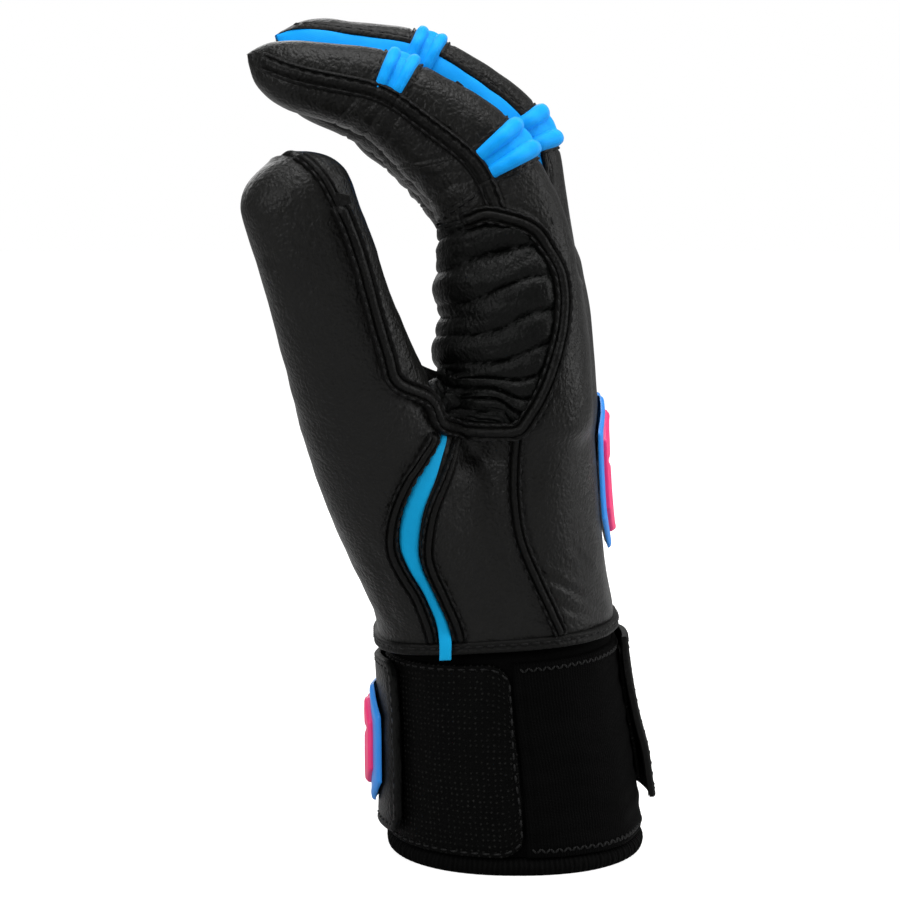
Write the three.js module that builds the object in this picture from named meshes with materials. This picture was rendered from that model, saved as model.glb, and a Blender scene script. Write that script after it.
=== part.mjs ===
// A right-hand batting glove that stands on its cuff, fingers curled as the hand leaves them.
// Millimetres. +Z runs up the hand, +X points out of the back of the hand, -Y is the thumb side.
// Every sewn panel is a wall of even thickness over one shared hand shape, which is a smooth union
// of tubes: palm, four fingers and thumb. A turn is an angle round a tube: 0 is the back of the hand,
// -90 the thumb side, 90 the little-finger side and -180 or 180 the palm side.
import * as THREE from "three";

const degree = Math.PI / 180;

// Walls and clearances
const leatherWall = 1.2;
const flexWall = 1.2;
const neopreneWall = 2.0;
const weltWall = 1.0;
const strapWall = 1.5;
const padWall = 0.8;
const seamGap = 0.4;
const layerGap = 0.3;
const weldReach = 0.01;
const slope = 0.05;
const marchStep = 1.0;
const fillet = 6.0;
const flatRise = 0.04;
const settleRounds = 8;
const leatherRough = 0.55;
const flexRough = 0.7;
const hookRough = 0.9;
const elasticRough = 0.75;

// The cuff
const hemBase = 54;
const cuffTuck = 8;
const cuffHeight = hemBase + cuffTuck;
const cuffDepth = 62;
const cuffBreadth = 64;
const bindingHeight = 4.2;
const bindingWall = 3.4;
const hemRise = 3.4;
const hemReach = 60;
const hemBand = 2.6;
const tuckRoom = 2.5;
const tuckDepth = 2;
const bindingBulge = 1.3;
const bindingShares = [[0, 0.1], [0.3, 0.9], [0.7, 0.9], [1, 0]];
const wrapRoom = 3.5;
const wrapTop = hemBase - wrapRoom;
const cuffStep = 9;
const cornerCut = 2;
const cornerTurn = 3;
const hookTurns = [-175, -88];
const elasticTurns = [-87, 100];

// The two straps: turns run from the free end to the sewn root
const palmStrapTurns = [-147, -250];
const palmStrapLow = 7;
const palmStrapRoom = 4;
const palmStrapHigh = hemBase - palmStrapRoom;
const palmStrapRoot = 1.9;
const palmPadTurns = [-150, -172];
const backStrapTurns = [-12, 80];
const backStrapLow = 13;
const backStrapRoom = 3;
const backStrapHigh = hemBase - backStrapRoom;
const backStrapRoot = 3.1;
const backPadTurns = [-9, 10];
const strapFree = 4.2;
const strapCorner = 1.6;
const padTop = 2.4;
const padInset = 4;

// The palm, from the hem to the roots of the fingers
const palmTuck = 4;
const palmBase = hemBase - palmTuck;
const palmReach = 142;
const palmHeight = palmReach - palmBase;
const palmDepth = 40;
const palmBreadth = 84;
const palmCap = 8;

// The fingers lie side by side in lanes of one pitch
const fingerBreadth = 20;
const laneGap = 0.7;
const lanePitch = fingerBreadth + laneGap;
const rootHeight = 112;
const crotchHeight = 150;
const morphStart = 118;
const tipRound = 13;
const tipEdge = 3.2;
const tipFold = 0.9;
const fingerRoundness = 2.4;
const tipBreadthShare = 0.42;
const breadthTaperShare = 0.16;
const endDepthShare = 0.86;
const padShare = 0.55;
const rootDepthShare = 0.6;
const stationStep = 1.0;

// Each finger: the place of its root across the lanes, its lengths along the centreline, its full depths,
// and how far it turns towards the palm at the root, at the knuckle, at the tip joint and before its end
const fingers = [
  {
    name: "index", lane: -1.5, rootShift: -2, lean: 0, turns: [20, 33, 26, -13],
    toBend: 36, toKnuckle: 59, toJoint: 27.5, toEnd: 33,
    rootDepth: 32.6, knuckleDepth: 27, jointDepth: 20.6, padDepth: 17.6, breadth: 20,
  },
  {
    name: "middle", lane: -0.5, rootShift: 1.0, lean: 2, turns: [4, 46, 27, -10],
    toBend: 30, toKnuckle: 63, toJoint: 28, toEnd: 34,
    rootDepth: 29.6, knuckleDepth: 26.4, jointDepth: 21, padDepth: 17.6, breadth: 20,
  },
  {
    name: "ring", lane: 0.5, rootShift: 0.5, lean: 2, turns: [20, 30, 20, -6],
    toBend: 32, toKnuckle: 56, toJoint: 27, toEnd: 32,
    rootDepth: 30, knuckleDepth: 26, jointDepth: 21, padDepth: 17.2, breadth: 20,
  },
  {
    name: "little", lane: 1.5, rootShift: 0, lean: 4, turns: [12, 28, 14, -4],
    toBend: 24, toKnuckle: 46, toJoint: 20, toEnd: 27,
    rootDepth: 26, knuckleDepth: 22.6, jointDepth: 18.6, padDepth: 15.6, breadth: 18,
  },
];
const bendSpread = 14;
const knuckleSpread = 9;
const jointSpread = 8;

// The flex joints: how far the cut edges of the leather stand from the joint's own plane
const sideRoom = 3.0;
const flexRoom = 4.6;
const foldRoom = 9.8;
const foldBelow = 3.0;
const jointSideRoom = 2.6;
const jointFlexRoom = 3.0;
const jointFoldBelow = 2.6;
const jointFoldRoom = 6.2;
const ridgeHeight = 1.8;
const foldHeight = 0.9;
const jointRidgeShare = 0.85;
const stripTurn = 78;
const legShares = [0.1, 0.25, 0.5, 0.75, 1];

// The thumb
const thumbBase = 48;
const thumbLength = 140;
const thumbDepth = 31;
const thumbBreadth = 24;
const thumbRootShift = -14;
const thumbRootSide = -12;
const thumbRound = 10.5;

// The side of the hand
const weltWidth = 3.2;
const weltCrown = 0.3;
const tabReach = 2.5;
const gussetTop = 160.5;
const gussetBottom = 109;
const pleatHeight = 1.8;
const pleatCount = 9;
const pleatFade = 5;
const edgeBandWidth = 3.8;
const edgeBandRaise = 0.75;

const gussetTopBand = 2.2;
const gussetTopRise = 5.3;
const seamStep = 4;

// Badges, plain six-sided ones
const handBadgeHeight = 40;
const handBadgeWidth = 30;
const handBadgeCentre = 94;
const wristBadgeHeight = 30;
const wristBadgeWidth = 26;
const wristBadgeCentre = 27;
const badgeBaseWall = 1.1;
const badgeInlayWall = 1.2;
const badgeRim = 8;
const badgeRidge = 0.5;
const wristBadgeTurn = -190;

// Colours
const black = "#20201f";
const deepBlack = "#141413";
const blue = "#0a8fd8";
const pink = "#ec377a";

// A point of a surface and the way that the surface faces there
function faced(point, facing) {
  const spot = point.clone();
  spot.facing = facing.clone().normalize();
  return spot;
}

// A value read from rows of [share, value, ...], smooth through every row
function trend(rows, share, column = 1) {
  const last = rows.length - 1;
  let k = 0;
  while (k < last - 1 && share > rows[k + 1][0]) k += 1;
  const t = THREE.MathUtils.clamp((share - rows[k][0]) / (rows[k + 1][0] - rows[k][0]), 0, 1);
  const [p0, p1, p2, p3] = [Math.max(k - 1, 0), k, k + 1, Math.min(k + 2, last)].map((n) => rows[n][column]);
  const bend = 2 * p0 - 5 * p1 + 4 * p2 - p3;
  const twist = 3 * p1 - p0 - 3 * p2 + p3;
  return p1 + 0.5 * t * (p2 - p0 + t * (bend + t * twist));
}

function ease(value, from, to) {
  return THREE.MathUtils.smoothstep(value, from, to);
}

function range(count) {
  return Array.from({ length: count }, (_, k) => k);
}

function spread(from, to, count) {
  return range(count + 1).map((k) => from + ((to - from) * k) / count);
}

// A tube with a superellipse section along a smooth centreline
class Limb {
  constructor(stations, roundness, cap) {
    this.stations = stations;
    this.roundness = roundness;
    this.cap = cap;
    stations.forEach((station, k) => {
      const before = stations[Math.max(k - 1, 0)].centre;
      const after = stations[Math.min(k + 1, stations.length - 1)].centre;
      station.along = after.clone().sub(before).normalize();
      const across = new THREE.Vector3(0, 1, 0);
      station.side = across.addScaledVector(station.along, -across.dot(station.along)).normalize();
      station.back = station.side.clone().cross(station.along);
    });
    let run = 0;
    stations.forEach((station, k) => {
      if (k) run += station.centre.distanceTo(stations[k - 1].centre);
      station.run = run;
    });
    this.length = run;
  }

  at(run) {
    const { stations } = this;
    let k = 0;
    let end = stations.length - 2;
    while (k < end) {
      const half = (k + end + 1) >> 1;
      if (stations[half].run <= run) k = half;
      else end = half - 1;
    }
    const [a, b] = [stations[k], stations[k + 1]];
    const t = THREE.MathUtils.clamp((run - a.run) / (b.run - a.run), 0, 1);
    const mix = (key) => a[key].clone().lerp(b[key], t);
    return {
      centre: mix("centre"), along: mix("along"), side: mix("side"), back: mix("back"),
      depth: a.depth + (b.depth - a.depth) * t,
      breadth: a.breadth + (b.breadth - a.breadth) * t,
    };
  }

  // The point of the tube's wall at a turn, out further than the wall by some distance
  point(run, turn, out = 0) {
    const here = this.at(run);
    const power = (v) => Math.sign(v) * Math.abs(v) ** (2 / this.roundness);
    return here.centre
      .addScaledVector(here.back, (here.depth / 2 + out) * power(Math.cos(turn * degree)))
      .addScaledVector(here.side, (here.breadth / 2 + out) * power(Math.sin(turn * degree)));
  }

  // The same, with the way the wall faces there
  spot(run, turn, out = 0) {
    const ahead = Math.min(run + stationStep / 2, this.length);
    const lengthwise = this.point(ahead, turn).sub(this.point(ahead - stationStep, turn));
    const round = this.point(run, turn + 1).sub(this.point(run, turn - 1));
    return faced(this.point(run, turn, out), round.cross(lengthwise));
  }

  // The run at which the centreline passes a height
  runAt(height) {
    const { stations } = this;
    const k = Math.max(1, stations.findIndex((station) => station.centre.z >= height));
    const [a, b] = [stations[k - 1], stations[k]];
    return a.run + ((b.run - a.run) * (height - a.centre.z)) / (b.centre.z - a.centre.z);
  }

  // About how far a point lies outside the tube, negative inside
  reach(point) {
    const { stations } = this;
    let best = 0;
    let least = Infinity;
    for (let k = 0; k < stations.length; k += 3) {
      const distance = stations[k].centre.distanceToSquared(point);
      if (distance < least) [least, best] = [distance, k];
    }
    const near = stations[best];
    const guess = near.run + point.clone().sub(near.centre).dot(near.along);
    const inside = THREE.MathUtils.clamp(guess, 0, this.length);
    const first = this.at(inside);
    const run = inside + point.clone().sub(first.centre).dot(first.along);
    const here = this.at(run);
    const offset = point.clone().sub(here.centre);
    const past = Math.max(run - this.length, -run, 0);
    const parts = [
      offset.dot(here.back) / (here.depth / 2),
      offset.dot(here.side) / (here.breadth / 2),
      past / this.cap,
    ];
    const total = parts.reduce((sum, part) => sum + Math.abs(part) ** this.roundness, 0);
    return (total ** (1 / this.roundness) - 1) * Math.min(here.depth, here.breadth) * 0.5;
  }
}

function makeLimb(count, roundness, cap, station) {
  return new Limb(range(count + 1).map((k) => station(k / count)), roundness, cap);
}

// Height, depth, breadth and shift of the palm's sections, as shares of its sizes
const palmShares = [
  [0, 1.48, 0.81, -0.135],
  [0.1, 1.465, 0.82, -0.13],
  [0.28, 1.25, 0.87, -0.07],
  [0.5, 0.968, 0.94, 0.009],
  [0.72, 0.865, 0.985, 0.032],
  [0.9, 0.81, 1, 0.004],
  [1, 0.75, 0.99, -0.037],
];
const palm = makeLimb(46, 2.5, palmCap, (t) => ({
  centre: new THREE.Vector3(trend(palmShares, t, 3) * palmDepth, 0, palmBase + t * palmHeight),
  depth: trend(palmShares, t, 1) * palmDepth,
  breadth: trend(palmShares, t, 2) * palmBreadth,
}));

// Height, depth, breadth and shift of the cuff's sections, as shares of its sizes
const cuffShares = [
  [0, 0.995, 1.02, -0.008],
  [0.2, 0.975, 1.02, -0.014],
  [0.42, 0.95, 1.01, -0.028],
  [0.62, 0.915, 1, -0.05],
  [0.8, 0.9, 0.99, -0.066],
  [1, 0.9, 0.98, -0.076],
];
const cuff = makeLimb(31, 2.2, cuffHeight, (t) => ({
  centre: new THREE.Vector3(trend(cuffShares, t, 3) * cuffDepth, 0, t * cuffHeight),
  depth: trend(cuffShares, t, 1) * cuffDepth,
  breadth: trend(cuffShares, t, 2) * cuffBreadth,
}));

// Depth at shares of the way: root, bend, knuckle, joint, pad; the end rounds off to a thin sewn edge
function fingerLimb(finger) {
  const knuckle = finger.toKnuckle;
  const joint = knuckle + finger.toJoint;
  const length = joint + finger.toEnd;
  const bends = [
    [finger.toBend, bendSpread],
    [knuckle, knuckleSpread],
    [joint, jointSpread],
    [joint + (finger.toEnd * 2) / 3, jointSpread],
  ];
  const depths = [
    [0, finger.rootDepth],
    [(knuckle * rootDepthShare) / length, (finger.rootDepth * 2 + finger.knuckleDepth) / 3],
    [knuckle / length, finger.knuckleDepth],
    [(knuckle + joint) / 2 / length, (finger.knuckleDepth * 2 + finger.jointDepth) / 3],
    [joint / length, finger.jointDepth],
    [(joint + finger.toEnd * padShare) / length, finger.padDepth],
    [1, finger.padDepth * endDepthShare],
  ];
  const count = Math.round(length / stationStep);
  const place = new THREE.Vector3(finger.rootShift, finger.lane * lanePitch, rootHeight);
  const step = length / count;
  finger.knuckle = knuckle;
  finger.joint = joint;
  finger.limb = makeLimb(count, fingerRoundness, tipRound / 2, (t) => {
    const run = t * length;
    const angle = bends.reduce(
      (sum, [middle, reach], k) => sum + finger.turns[k] * ease(run, middle - reach, middle + reach),
      finger.lean,
    );
    const centre = place.clone();
    const heading = new THREE.Vector3(-Math.sin(angle * degree), 0, Math.cos(angle * degree));
    place.addScaledVector(heading, step);
    const round = Math.sqrt(Math.max(0, 1 - Math.max(0, (run - length + tipRound) / tipRound) ** 2));
    return {
      centre,
      depth: Math.max(trend(depths, t) * round, tipEdge),
      breadth: finger.breadth * (1 - breadthTaperShare * t) * Math.max(round, tipBreadthShare),
    };
  });
}
fingers.forEach(fingerLimb);
const [index, , , little] = fingers;

// The thumb's lean towards the palm and towards the thumb side, in degrees, and its depth and breadth
// as shares, all along its length
const thumbShares = [
  [0, 15, 21, 0.98, 1.12],
  [0.2, 19, 24, 1.06, 1.3],
  [0.36, 20, 28, 1.12, 1.22],
  [0.52, 19, 27, 1.07, 1.08],
  [0.66, 17, 22, 0.94, 1],
  [0.78, 16, 14, 0.87, 0.96],
  [0.9, 19, 4, 0.84, 0.93],
  [1, 21, 0, 0.83, 0.9],
];
const thumbPlace = new THREE.Vector3(thumbRootShift, thumbRootSide, thumbBase);
const thumb = makeLimb(92, 2.3, thumbRound / 2, (t) => {
  const centre = thumbPlace.clone();
  const lean = trend(thumbShares, t, 1) * degree;
  const aside = trend(thumbShares, t, 2) * degree;
  const heading = new THREE.Vector3(-Math.tan(lean), -Math.tan(aside), 1).normalize();
  thumbPlace.addScaledVector(heading, thumbLength / 92);
  const past = Math.max(0, (t * thumbLength - thumbLength + thumbRound) / thumbRound);
  const round = Math.sqrt(Math.max(0, 1 - past ** 2));
  return {
    centre,
    depth: Math.max(trend(thumbShares, t, 3) * thumbDepth * round, tipEdge * 2),
    breadth: Math.max(trend(thumbShares, t, 4) * thumbBreadth * round, tipEdge),
  };
});

// The shared hand shape: about how far a point lies outside the smooth union of the tubes
const handTubes = [palm, ...fingers.map((finger) => finger.limb), thumb];
function hand(point) {
  return handTubes.reduce((near, tube) => {
    const far = tube.reach(point);
    const overlap = Math.max(fillet - Math.abs(near - far), 0) / fillet;
    return Math.min(near, far) - (overlap * overlap * fillet) / 4;
  }, palmBreadth);
}

const axes = [new THREE.Vector3(1, 0, 0), new THREE.Vector3(0, 1, 0), new THREE.Vector3(0, 0, 1)];

// How the hand shape's distance rises along X, Y and Z at a point
function steepest(point, here) {
  return new THREE.Vector3(
    ...axes.map((axis) => (hand(point.clone().addScaledVector(axis, slope)) - here) / slope),
  );
}

// Moves a point on to the hand shape along the shape's own steepest way, and notes which way it faces
function settle(point) {
  const place = point.clone();
  let rise;
  for (let round = 0; round < settleRounds; round += 1) {
    const here = hand(place);
    rise = steepest(place, here);
    place.addScaledVector(rise, -here / Math.max(rise.lengthSq(), flatRise));
    if (Math.abs(here) < weldReach) break;
  }
  return faced(place, rise);
}

// Where a ray from inside first leaves the hand shape
function cast(origin, direction) {
  const heading = direction.clone().normalize();
  const at = (far) => origin.clone().addScaledVector(heading, far);
  let far = marchStep;
  while (hand(at(far)) < 0 && far < palmBreadth) far += marchStep;
  let [low, high] = [far - marchStep, far];
  for (let round = 0; round < 12; round += 1) {
    const middle = (low + high) / 2;
    if (hand(at(middle)) < 0) low = middle;
    else high = middle;
  }
  const place = at((low + high) / 2);
  return faced(place, steepest(place, hand(place)));
}

// The hem climbs a little towards the back of the hand, and the leather near it follows
function lean(point) {
  const share = (point.x + hemReach / 2) / hemReach;
  const fade = 1 - ease(point.z, hemBase, hemBase + hemReach);
  return faced(point.clone().setZ(point.z + hemRise * share * fade), point.facing);
}

// A sheet of four-sided faces. Rows of points are joined, and points of two patches that fall
// together become one. A point may carry its own lift above the sheet.
class Sheet {
  constructor() {
    this.points = [];
    this.faces = [];
    this.places = new Map();
  }

  spot(point) {
    const key = point.toArray().map((v) => Math.round(v / weldReach)).join();
    if (!this.places.has(key)) {
      this.places.set(key, this.points.length);
      this.points.push(point);
    }
    return this.places.get(key);
  }

  add(rows) {
    const ids = rows.map((row) => row.map((point) => this.spot(point)));
    for (let j = 0; j + 1 < rows.length; j += 1) {
      for (let i = 0; i + 1 < rows[j].length; i += 1) {
        this.faces.push([ids[j][i], ids[j][i + 1], ids[j + 1][i + 1], ids[j + 1][i]]);
      }
    }
    return this;
  }

  // Turns every face the way that its points say the surface faces
  turnOut() {
    const votes = this.faces.reduce((sum, face) => {
      const [a, b, c, d] = face.map((id) => this.points[id]);
      return sum + Math.sign(c.clone().sub(a).cross(d.clone().sub(b)).dot(a.facing));
    }, 0);
    if (votes < 0) this.faces.forEach((face) => face.reverse());
  }

  // Pulls the free edge in, so that neighbours keep a gap
  drawIn(distance) {
    const pulls = new Map();
    this.freeEdges().forEach(([a, b, face]) => {
      const middle = face
        .reduce((sum, id) => sum.add(this.points[id]), new THREE.Vector3())
        .multiplyScalar(1 / face.length);
      const run = this.points[b].clone().sub(this.points[a]).normalize();
      [a, b].forEach((id) => {
        const inward = middle.clone().sub(this.points[id]);
        inward.addScaledVector(run, -inward.dot(run)).normalize();
        if (!pulls.has(id)) pulls.set(id, []);
        pulls.get(id).push(inward);
      });
    });
    pulls.forEach((inwards, id) => {
      const sum = inwards.reduce((total, inward) => total.add(inward), new THREE.Vector3());
      const meet = Math.max(sum.lengthSq() / (inwards.length * inwards.length), 0.3);
      const moved = this.points[id].clone().addScaledVector(sum, distance / inwards.length / meet);
      moved.facing = this.points[id].facing;
      moved.lift = this.points[id].lift;
      this.points[id] = moved;
    });
  }

  freeEdges() {
    const seen = new Map();
    this.faces.forEach((face) => {
      face.forEach((a, k) => {
        const b = face[(k + 1) % face.length];
        if (a === b) return;
        if (seen.has(`${b},${a}`)) seen.delete(`${b},${a}`);
        else seen.set(`${a},${b}`, [a, b, face]);
      });
    });
    return [...seen.values()];
  }

  // A closed wall of some thickness under the lifted sheet, with a rim round its free edge
  wall(lift, thickness) {
    const raised = (p, less) => p.clone().addScaledVector(p.facing, lift + (p.lift ?? 0) - less);
    const outer = this.points.map((p) => raised(p, 0));
    const inner = this.points.map((p) => raised(p, (p.wall ?? thickness) + (p.solid ? p.lift : 0)));
    const count = this.points.length;
    const triangles = [];
    const push = (a, b, c) => {
      if (a !== b && b !== c && c !== a) triangles.push(a, b, c);
    };
    this.faces.forEach((face) => {
      const length = (k) => outer[face[k]].distanceToSquared(outer[face[k + 2]]);
      const [a, b, c, d] = length(0) <= length(1) ? face : [...face.slice(1), face[0]];
      push(a, b, c);
      push(a, c, d);
      push(count + a, count + c, count + b);
      push(count + a, count + d, count + c);
    });
    this.freeEdges().forEach(([a, b]) => {
      push(a, count + b, b);
      push(a, count + a, count + b);
    });
    const geometry = new THREE.BufferGeometry();
    const places = [...outer, ...inner].flatMap((p) => p.toArray());
    geometry.setAttribute("position", new THREE.Float32BufferAttribute(places, 3));
    geometry.setIndex(triangles);
    geometry.computeVertexNormals();
    return geometry;
  }
}

const glove = new THREE.Group();

function addPiece(name, geometry, colour, roughness) {
  const finish = new THREE.MeshStandardMaterial({ color: colour, roughness, metalness: 0 });
  const mesh = new THREE.Mesh(geometry, finish);
  mesh.name = name;
  glove.add(mesh);
}

// Makes a named wall from patches of points
function panel(name, patches, finish = {}) {
  const {
    colour = black, wall = leatherWall, lift = 0, rough = leatherRough, gap = seamGap / 2,
  } = finish;
  const sheet = new Sheet();
  patches.forEach((rows) => sheet.add(rows));
  sheet.turnOut();
  sheet.drawIn(gap);
  addPiece(name, sheet.wall(lift, wall), colour, rough);
}

const handPanel = (name, patches, finish) => panel(
  name,
  patches.map((rows) => rows.map((row) => row.map((p) => Object.assign(lean(p), { lift: p.lift })))),
  finish,
);

const palmAxis = (height) => palm.at(height - palmBase).centre.setZ(height);
const thumbAxis = (height) => thumb.at(thumb.runAt(height)).centre.setZ(height);
const indexAxis = (height) => index.limb.at(height - rootHeight).centre.setZ(height);
const laneEdges = [...[-2, -1, 0, 1].map((count) => count * lanePitch), palmBreadth / 2];

// The thumb side: how far along X each line of sewing lies, by height from the hem to the gusset
const sideStart = -19;
const sideReach = 40;
const sideShares = {
  insertFront: [
    [0, 0], [0.1, -0.02], [0.27, -0.1], [0.42, -0.205], [0.52, -0.245],
    [0.66, -0.222], [0.8, -0.145], [0.93, -0.035], [1, 0.01],
  ],
  insertBack: [
    [0, 0.065], [0.1, 0.05], [0.27, -0.04], [0.42, -0.12], [0.52, -0.13],
    [0.66, -0.1], [0.8, -0.03], [0.93, 0.02], [1, 0.035],
  ],
  backFront: [[0, 0.73], [0.1, 0.68], [0.3, 0.57], [0.5, 0.47], [0.7, 0.43], [0.85, 0.43], [1, 0.44]],
  thumbSeam: [
    [1, 0.01], [1.07, -0.04], [1.155, -0.09], [1.25, -0.2],
    [1.38, -0.32], [1.55, -0.41], [1.72, -0.47], [1.95, -0.54],
  ],
};

function sidePoint(line, height, aside = 0) {
  const share = (height - hemBase) / (gussetBottom - hemBase);
  return sideSpot(sideStart + sideReach * trend(sideShares[line], share) + aside, height);
}

function sideSpot(x, height) {
  const from = thumbAxis(height);
  const to = palmAxis(height).setY(laneEdges[1] * 1.2);
  const inside = from.lerp(to, THREE.MathUtils.clamp((x - from.x) / (to.x - from.x), 0, 1));
  return cast(inside.setX(x), axes[1].clone().negate());
}

// Casts a row of points round an upright axis, from one point to another the shorter way in turns,
// or past the palm side where the turns are said to fall
function castRow(axis, from, to, count, falling = false) {
  const turnOf = (p, c) => Math.atan2(p.y - c.y, p.x - c.x) / degree;
  const [c0, c1] = [axis(from.z), axis(to.z)];
  const first = turnOf(from, c0);
  let last = turnOf(to, c1);
  if (falling && last > first) last -= 360;
  return spread(0, 1, count).map((share) => {
    if (share === 0) return from;
    if (share === 1) return to;
    const height = from.z + (to.z - from.z) * share;
    const turn = (first + (last - first) * share) * degree;
    return cast(axis(height), new THREE.Vector3(Math.cos(turn), Math.sin(turn), 0));
  });
}

// Settles a row of points between two, round an upright axis, at a radius that goes from one to the other
function settleRow(axis, from, to, count) {
  const polar = (p) => {
    const offset = p.clone().sub(axis(p.z));
    return [Math.atan2(offset.y, offset.x), Math.hypot(offset.x, offset.y)];
  };
  const [[t0, r0], [t1, r1]] = [polar(from), polar(to)];
  const last = t1 > t0 ? t1 - 2 * Math.PI : t1;
  return spread(0, 1, count).map((share) => {
    if (share === 0) return from;
    if (share === 1) return to;
    const [turn, radius] = [t0 + (last - t0) * share, r0 + (r1 - r0) * share];
    const height = from.z + (to.z - from.z) * share;
    const heading = new THREE.Vector3(Math.cos(turn), Math.sin(turn), 0);
    return settle(axis(height).addScaledVector(heading, radius));
  });
}

// A place on the palm tube by its distance across the hand, on the back or on the palm side
function acrossPalm(height, across, toBack) {
  const here = palm.at(height - palmBase);
  const share = THREE.MathUtils.clamp(Math.abs(across) / (here.breadth / 2), 0, 1);
  const depth = (here.depth / 2) * (1 - share ** palm.roundness) ** (1 / palm.roundness);
  const beside = Math.max(depth, seamGap);
  return new THREE.Vector3(here.centre.x + (toBack ? beside : -beside), across, height);
}

// The gusset's long edge on the back of the index finger's root, as turns by height
const gussetBackTurns = [
  [0.68, -88], [0.704, -80], [0.735, -72], [0.773, -65], [0.822, -58],
  [0.878, -54], [0.935, -57], [0.972, -67], [1, -90],
];
const gussetTurn = (height) => trend(gussetBackTurns, height / gussetTop);
const gussetFoldTurn = -190;

function indexSpot(height, turn) {
  return settle(index.limb.point(Math.max(height - rootHeight, 0), turn).setZ(height));
}

// How far the leather of a finger reaches round towards its fourchettes
function edgeTurn(finger, run) {
  return 78 - 18 * ease(run + rootHeight, crotchHeight, crotchHeight + finger.toKnuckle / 3);
}

// The turns of a finger's leather by share, from its thumb-side edge to its little-finger-side edge
function leatherTurn(finger, run, toBack, share) {
  const edge = edgeTurn(finger, run);
  const near = finger === index ? 90 : edge;
  const far = finger === little ? 90 : edge;
  const turn = -near + (near + far) * share;
  return toBack ? turn : -180 - turn;
}

const laneColumns = 4;
const laneShares = spread(0, 1, laneColumns);

// Where the palm leather meets the thumb leather, as shares of the palm's breadth, by height
const thenarShares = [
  [0.33, -0.06], [0.465, -0.036], [0.56, -0.095], [0.65, -0.2], [0.735, -0.3], [0.77, -0.335], [1, -0.34],
];
const thenarAcross = (height) => trend(thenarShares, height / gussetTop) * palmBreadth;
function thenarPoint(height) {
  if (height > morphStart) return indexSpot(height, gussetFoldTurn);
  return cast(palmAxis(height).setY(thenarAcross(height)), axes[0].clone().negate());
}

// A point of the palm or back leather below the crotches, by finger, height and share of the lane
function bodySpot(k, height, share, toBack) {
  const start = toBack ? laneEdges[0] : thenarAcross(height);
  const settledEdges = laneEdges.map((edge, n) => {
    const even = start + ((laneEdges[4] - start) * n) / 4;
    return n ? even + (edge - even) * (toBack ? 1 : ease(height, hemBase + palmDepth, morphStart)) : start;
  });
  const reached = k === 3 ? Math.sin(share * 90 * degree) : share;
  const across = settledEdges[k] + (settledEdges[k + 1] - settledEdges[k]) * reached;
  const scale = palm.at(height - palmBase).breadth / palmBreadth;
  const place = Math.min(across * (across > 0 ? scale : 1), laneEdges[4] * scale);
  const flat = acrossPalm(height, place, toBack);
  const turned = (n, at) => fingers[n].limb.point(
    height - rootHeight,
    leatherTurn(fingers[n], height - rootHeight, toBack, at),
  );
  let raised = turned(k, share);
  if (share === 1 && k < 3) raised = raised.lerp(turned(k + 1, 0), 0.5);
  if (share === 0 && k > 0) raised = raised.lerp(turned(k - 1, 1), 0.5);
  return settle(flat.lerp(raised, ease(height, morphStart, crotchHeight)));
}

// The leather's cut edge at a joint: the run where the wall, at a turn, stands past the joint's plane
function edgeRun(limb, run, turn, distance) {
  const here = limb.at(run);
  let [low, high] = [run - fingerBreadth, Math.min(run + fingerBreadth, limb.length)];
  for (let round = 0; round < 24; round += 1) {
    const middle = (low + high) / 2;
    if (limb.point(middle, turn).sub(here.centre).dot(here.along) < distance) low = middle;
    else high = middle;
  }
  return (low + high) / 2;
}

function jointEdges(finger, joint, turn) {
  const back = Math.max(0, Math.cos(turn * degree));
  const front = Math.max(0, -Math.cos(turn * degree));
  const rooms = joint === "knuckle"
    ? [sideRoom, flexRoom, foldBelow, foldRoom]
    : [jointSideRoom, jointFlexRoom, jointFoldBelow, jointFoldRoom];
  const [side, flex, below, above] = rooms;
  const room = side + (flex - side) * back;
  return [
    edgeRun(finger.limb, finger[joint], turn, -(room + (below - side) * front)),
    edgeRun(finger.limb, finger[joint], turn, room + (above - side) * front),
  ];
}

const knuckleStart = (finger, turn) => jointEdges(finger, "knuckle", turn)[0];

// Rows of points on a finger between two edges that are given by turn
function fingerRows(finger, from, to, count, turns) {
  return spread(0, 1, count).map((row) => turns.map((turn) => {
    const [low, high] = [from(turn), to(turn)];
    return finger.limb.spot(low + (high - low) * row, turn);
  }));
}


// The lower edge of the index finger's leather over the gusset
function gussetTopRun(turn) {
  const nearness = (turn - gussetFoldTurn) / (-90 - gussetFoldTurn);
  return knuckleStart(index, turn) - (gussetTopBand + gussetTopRise * nearness);
}

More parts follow.
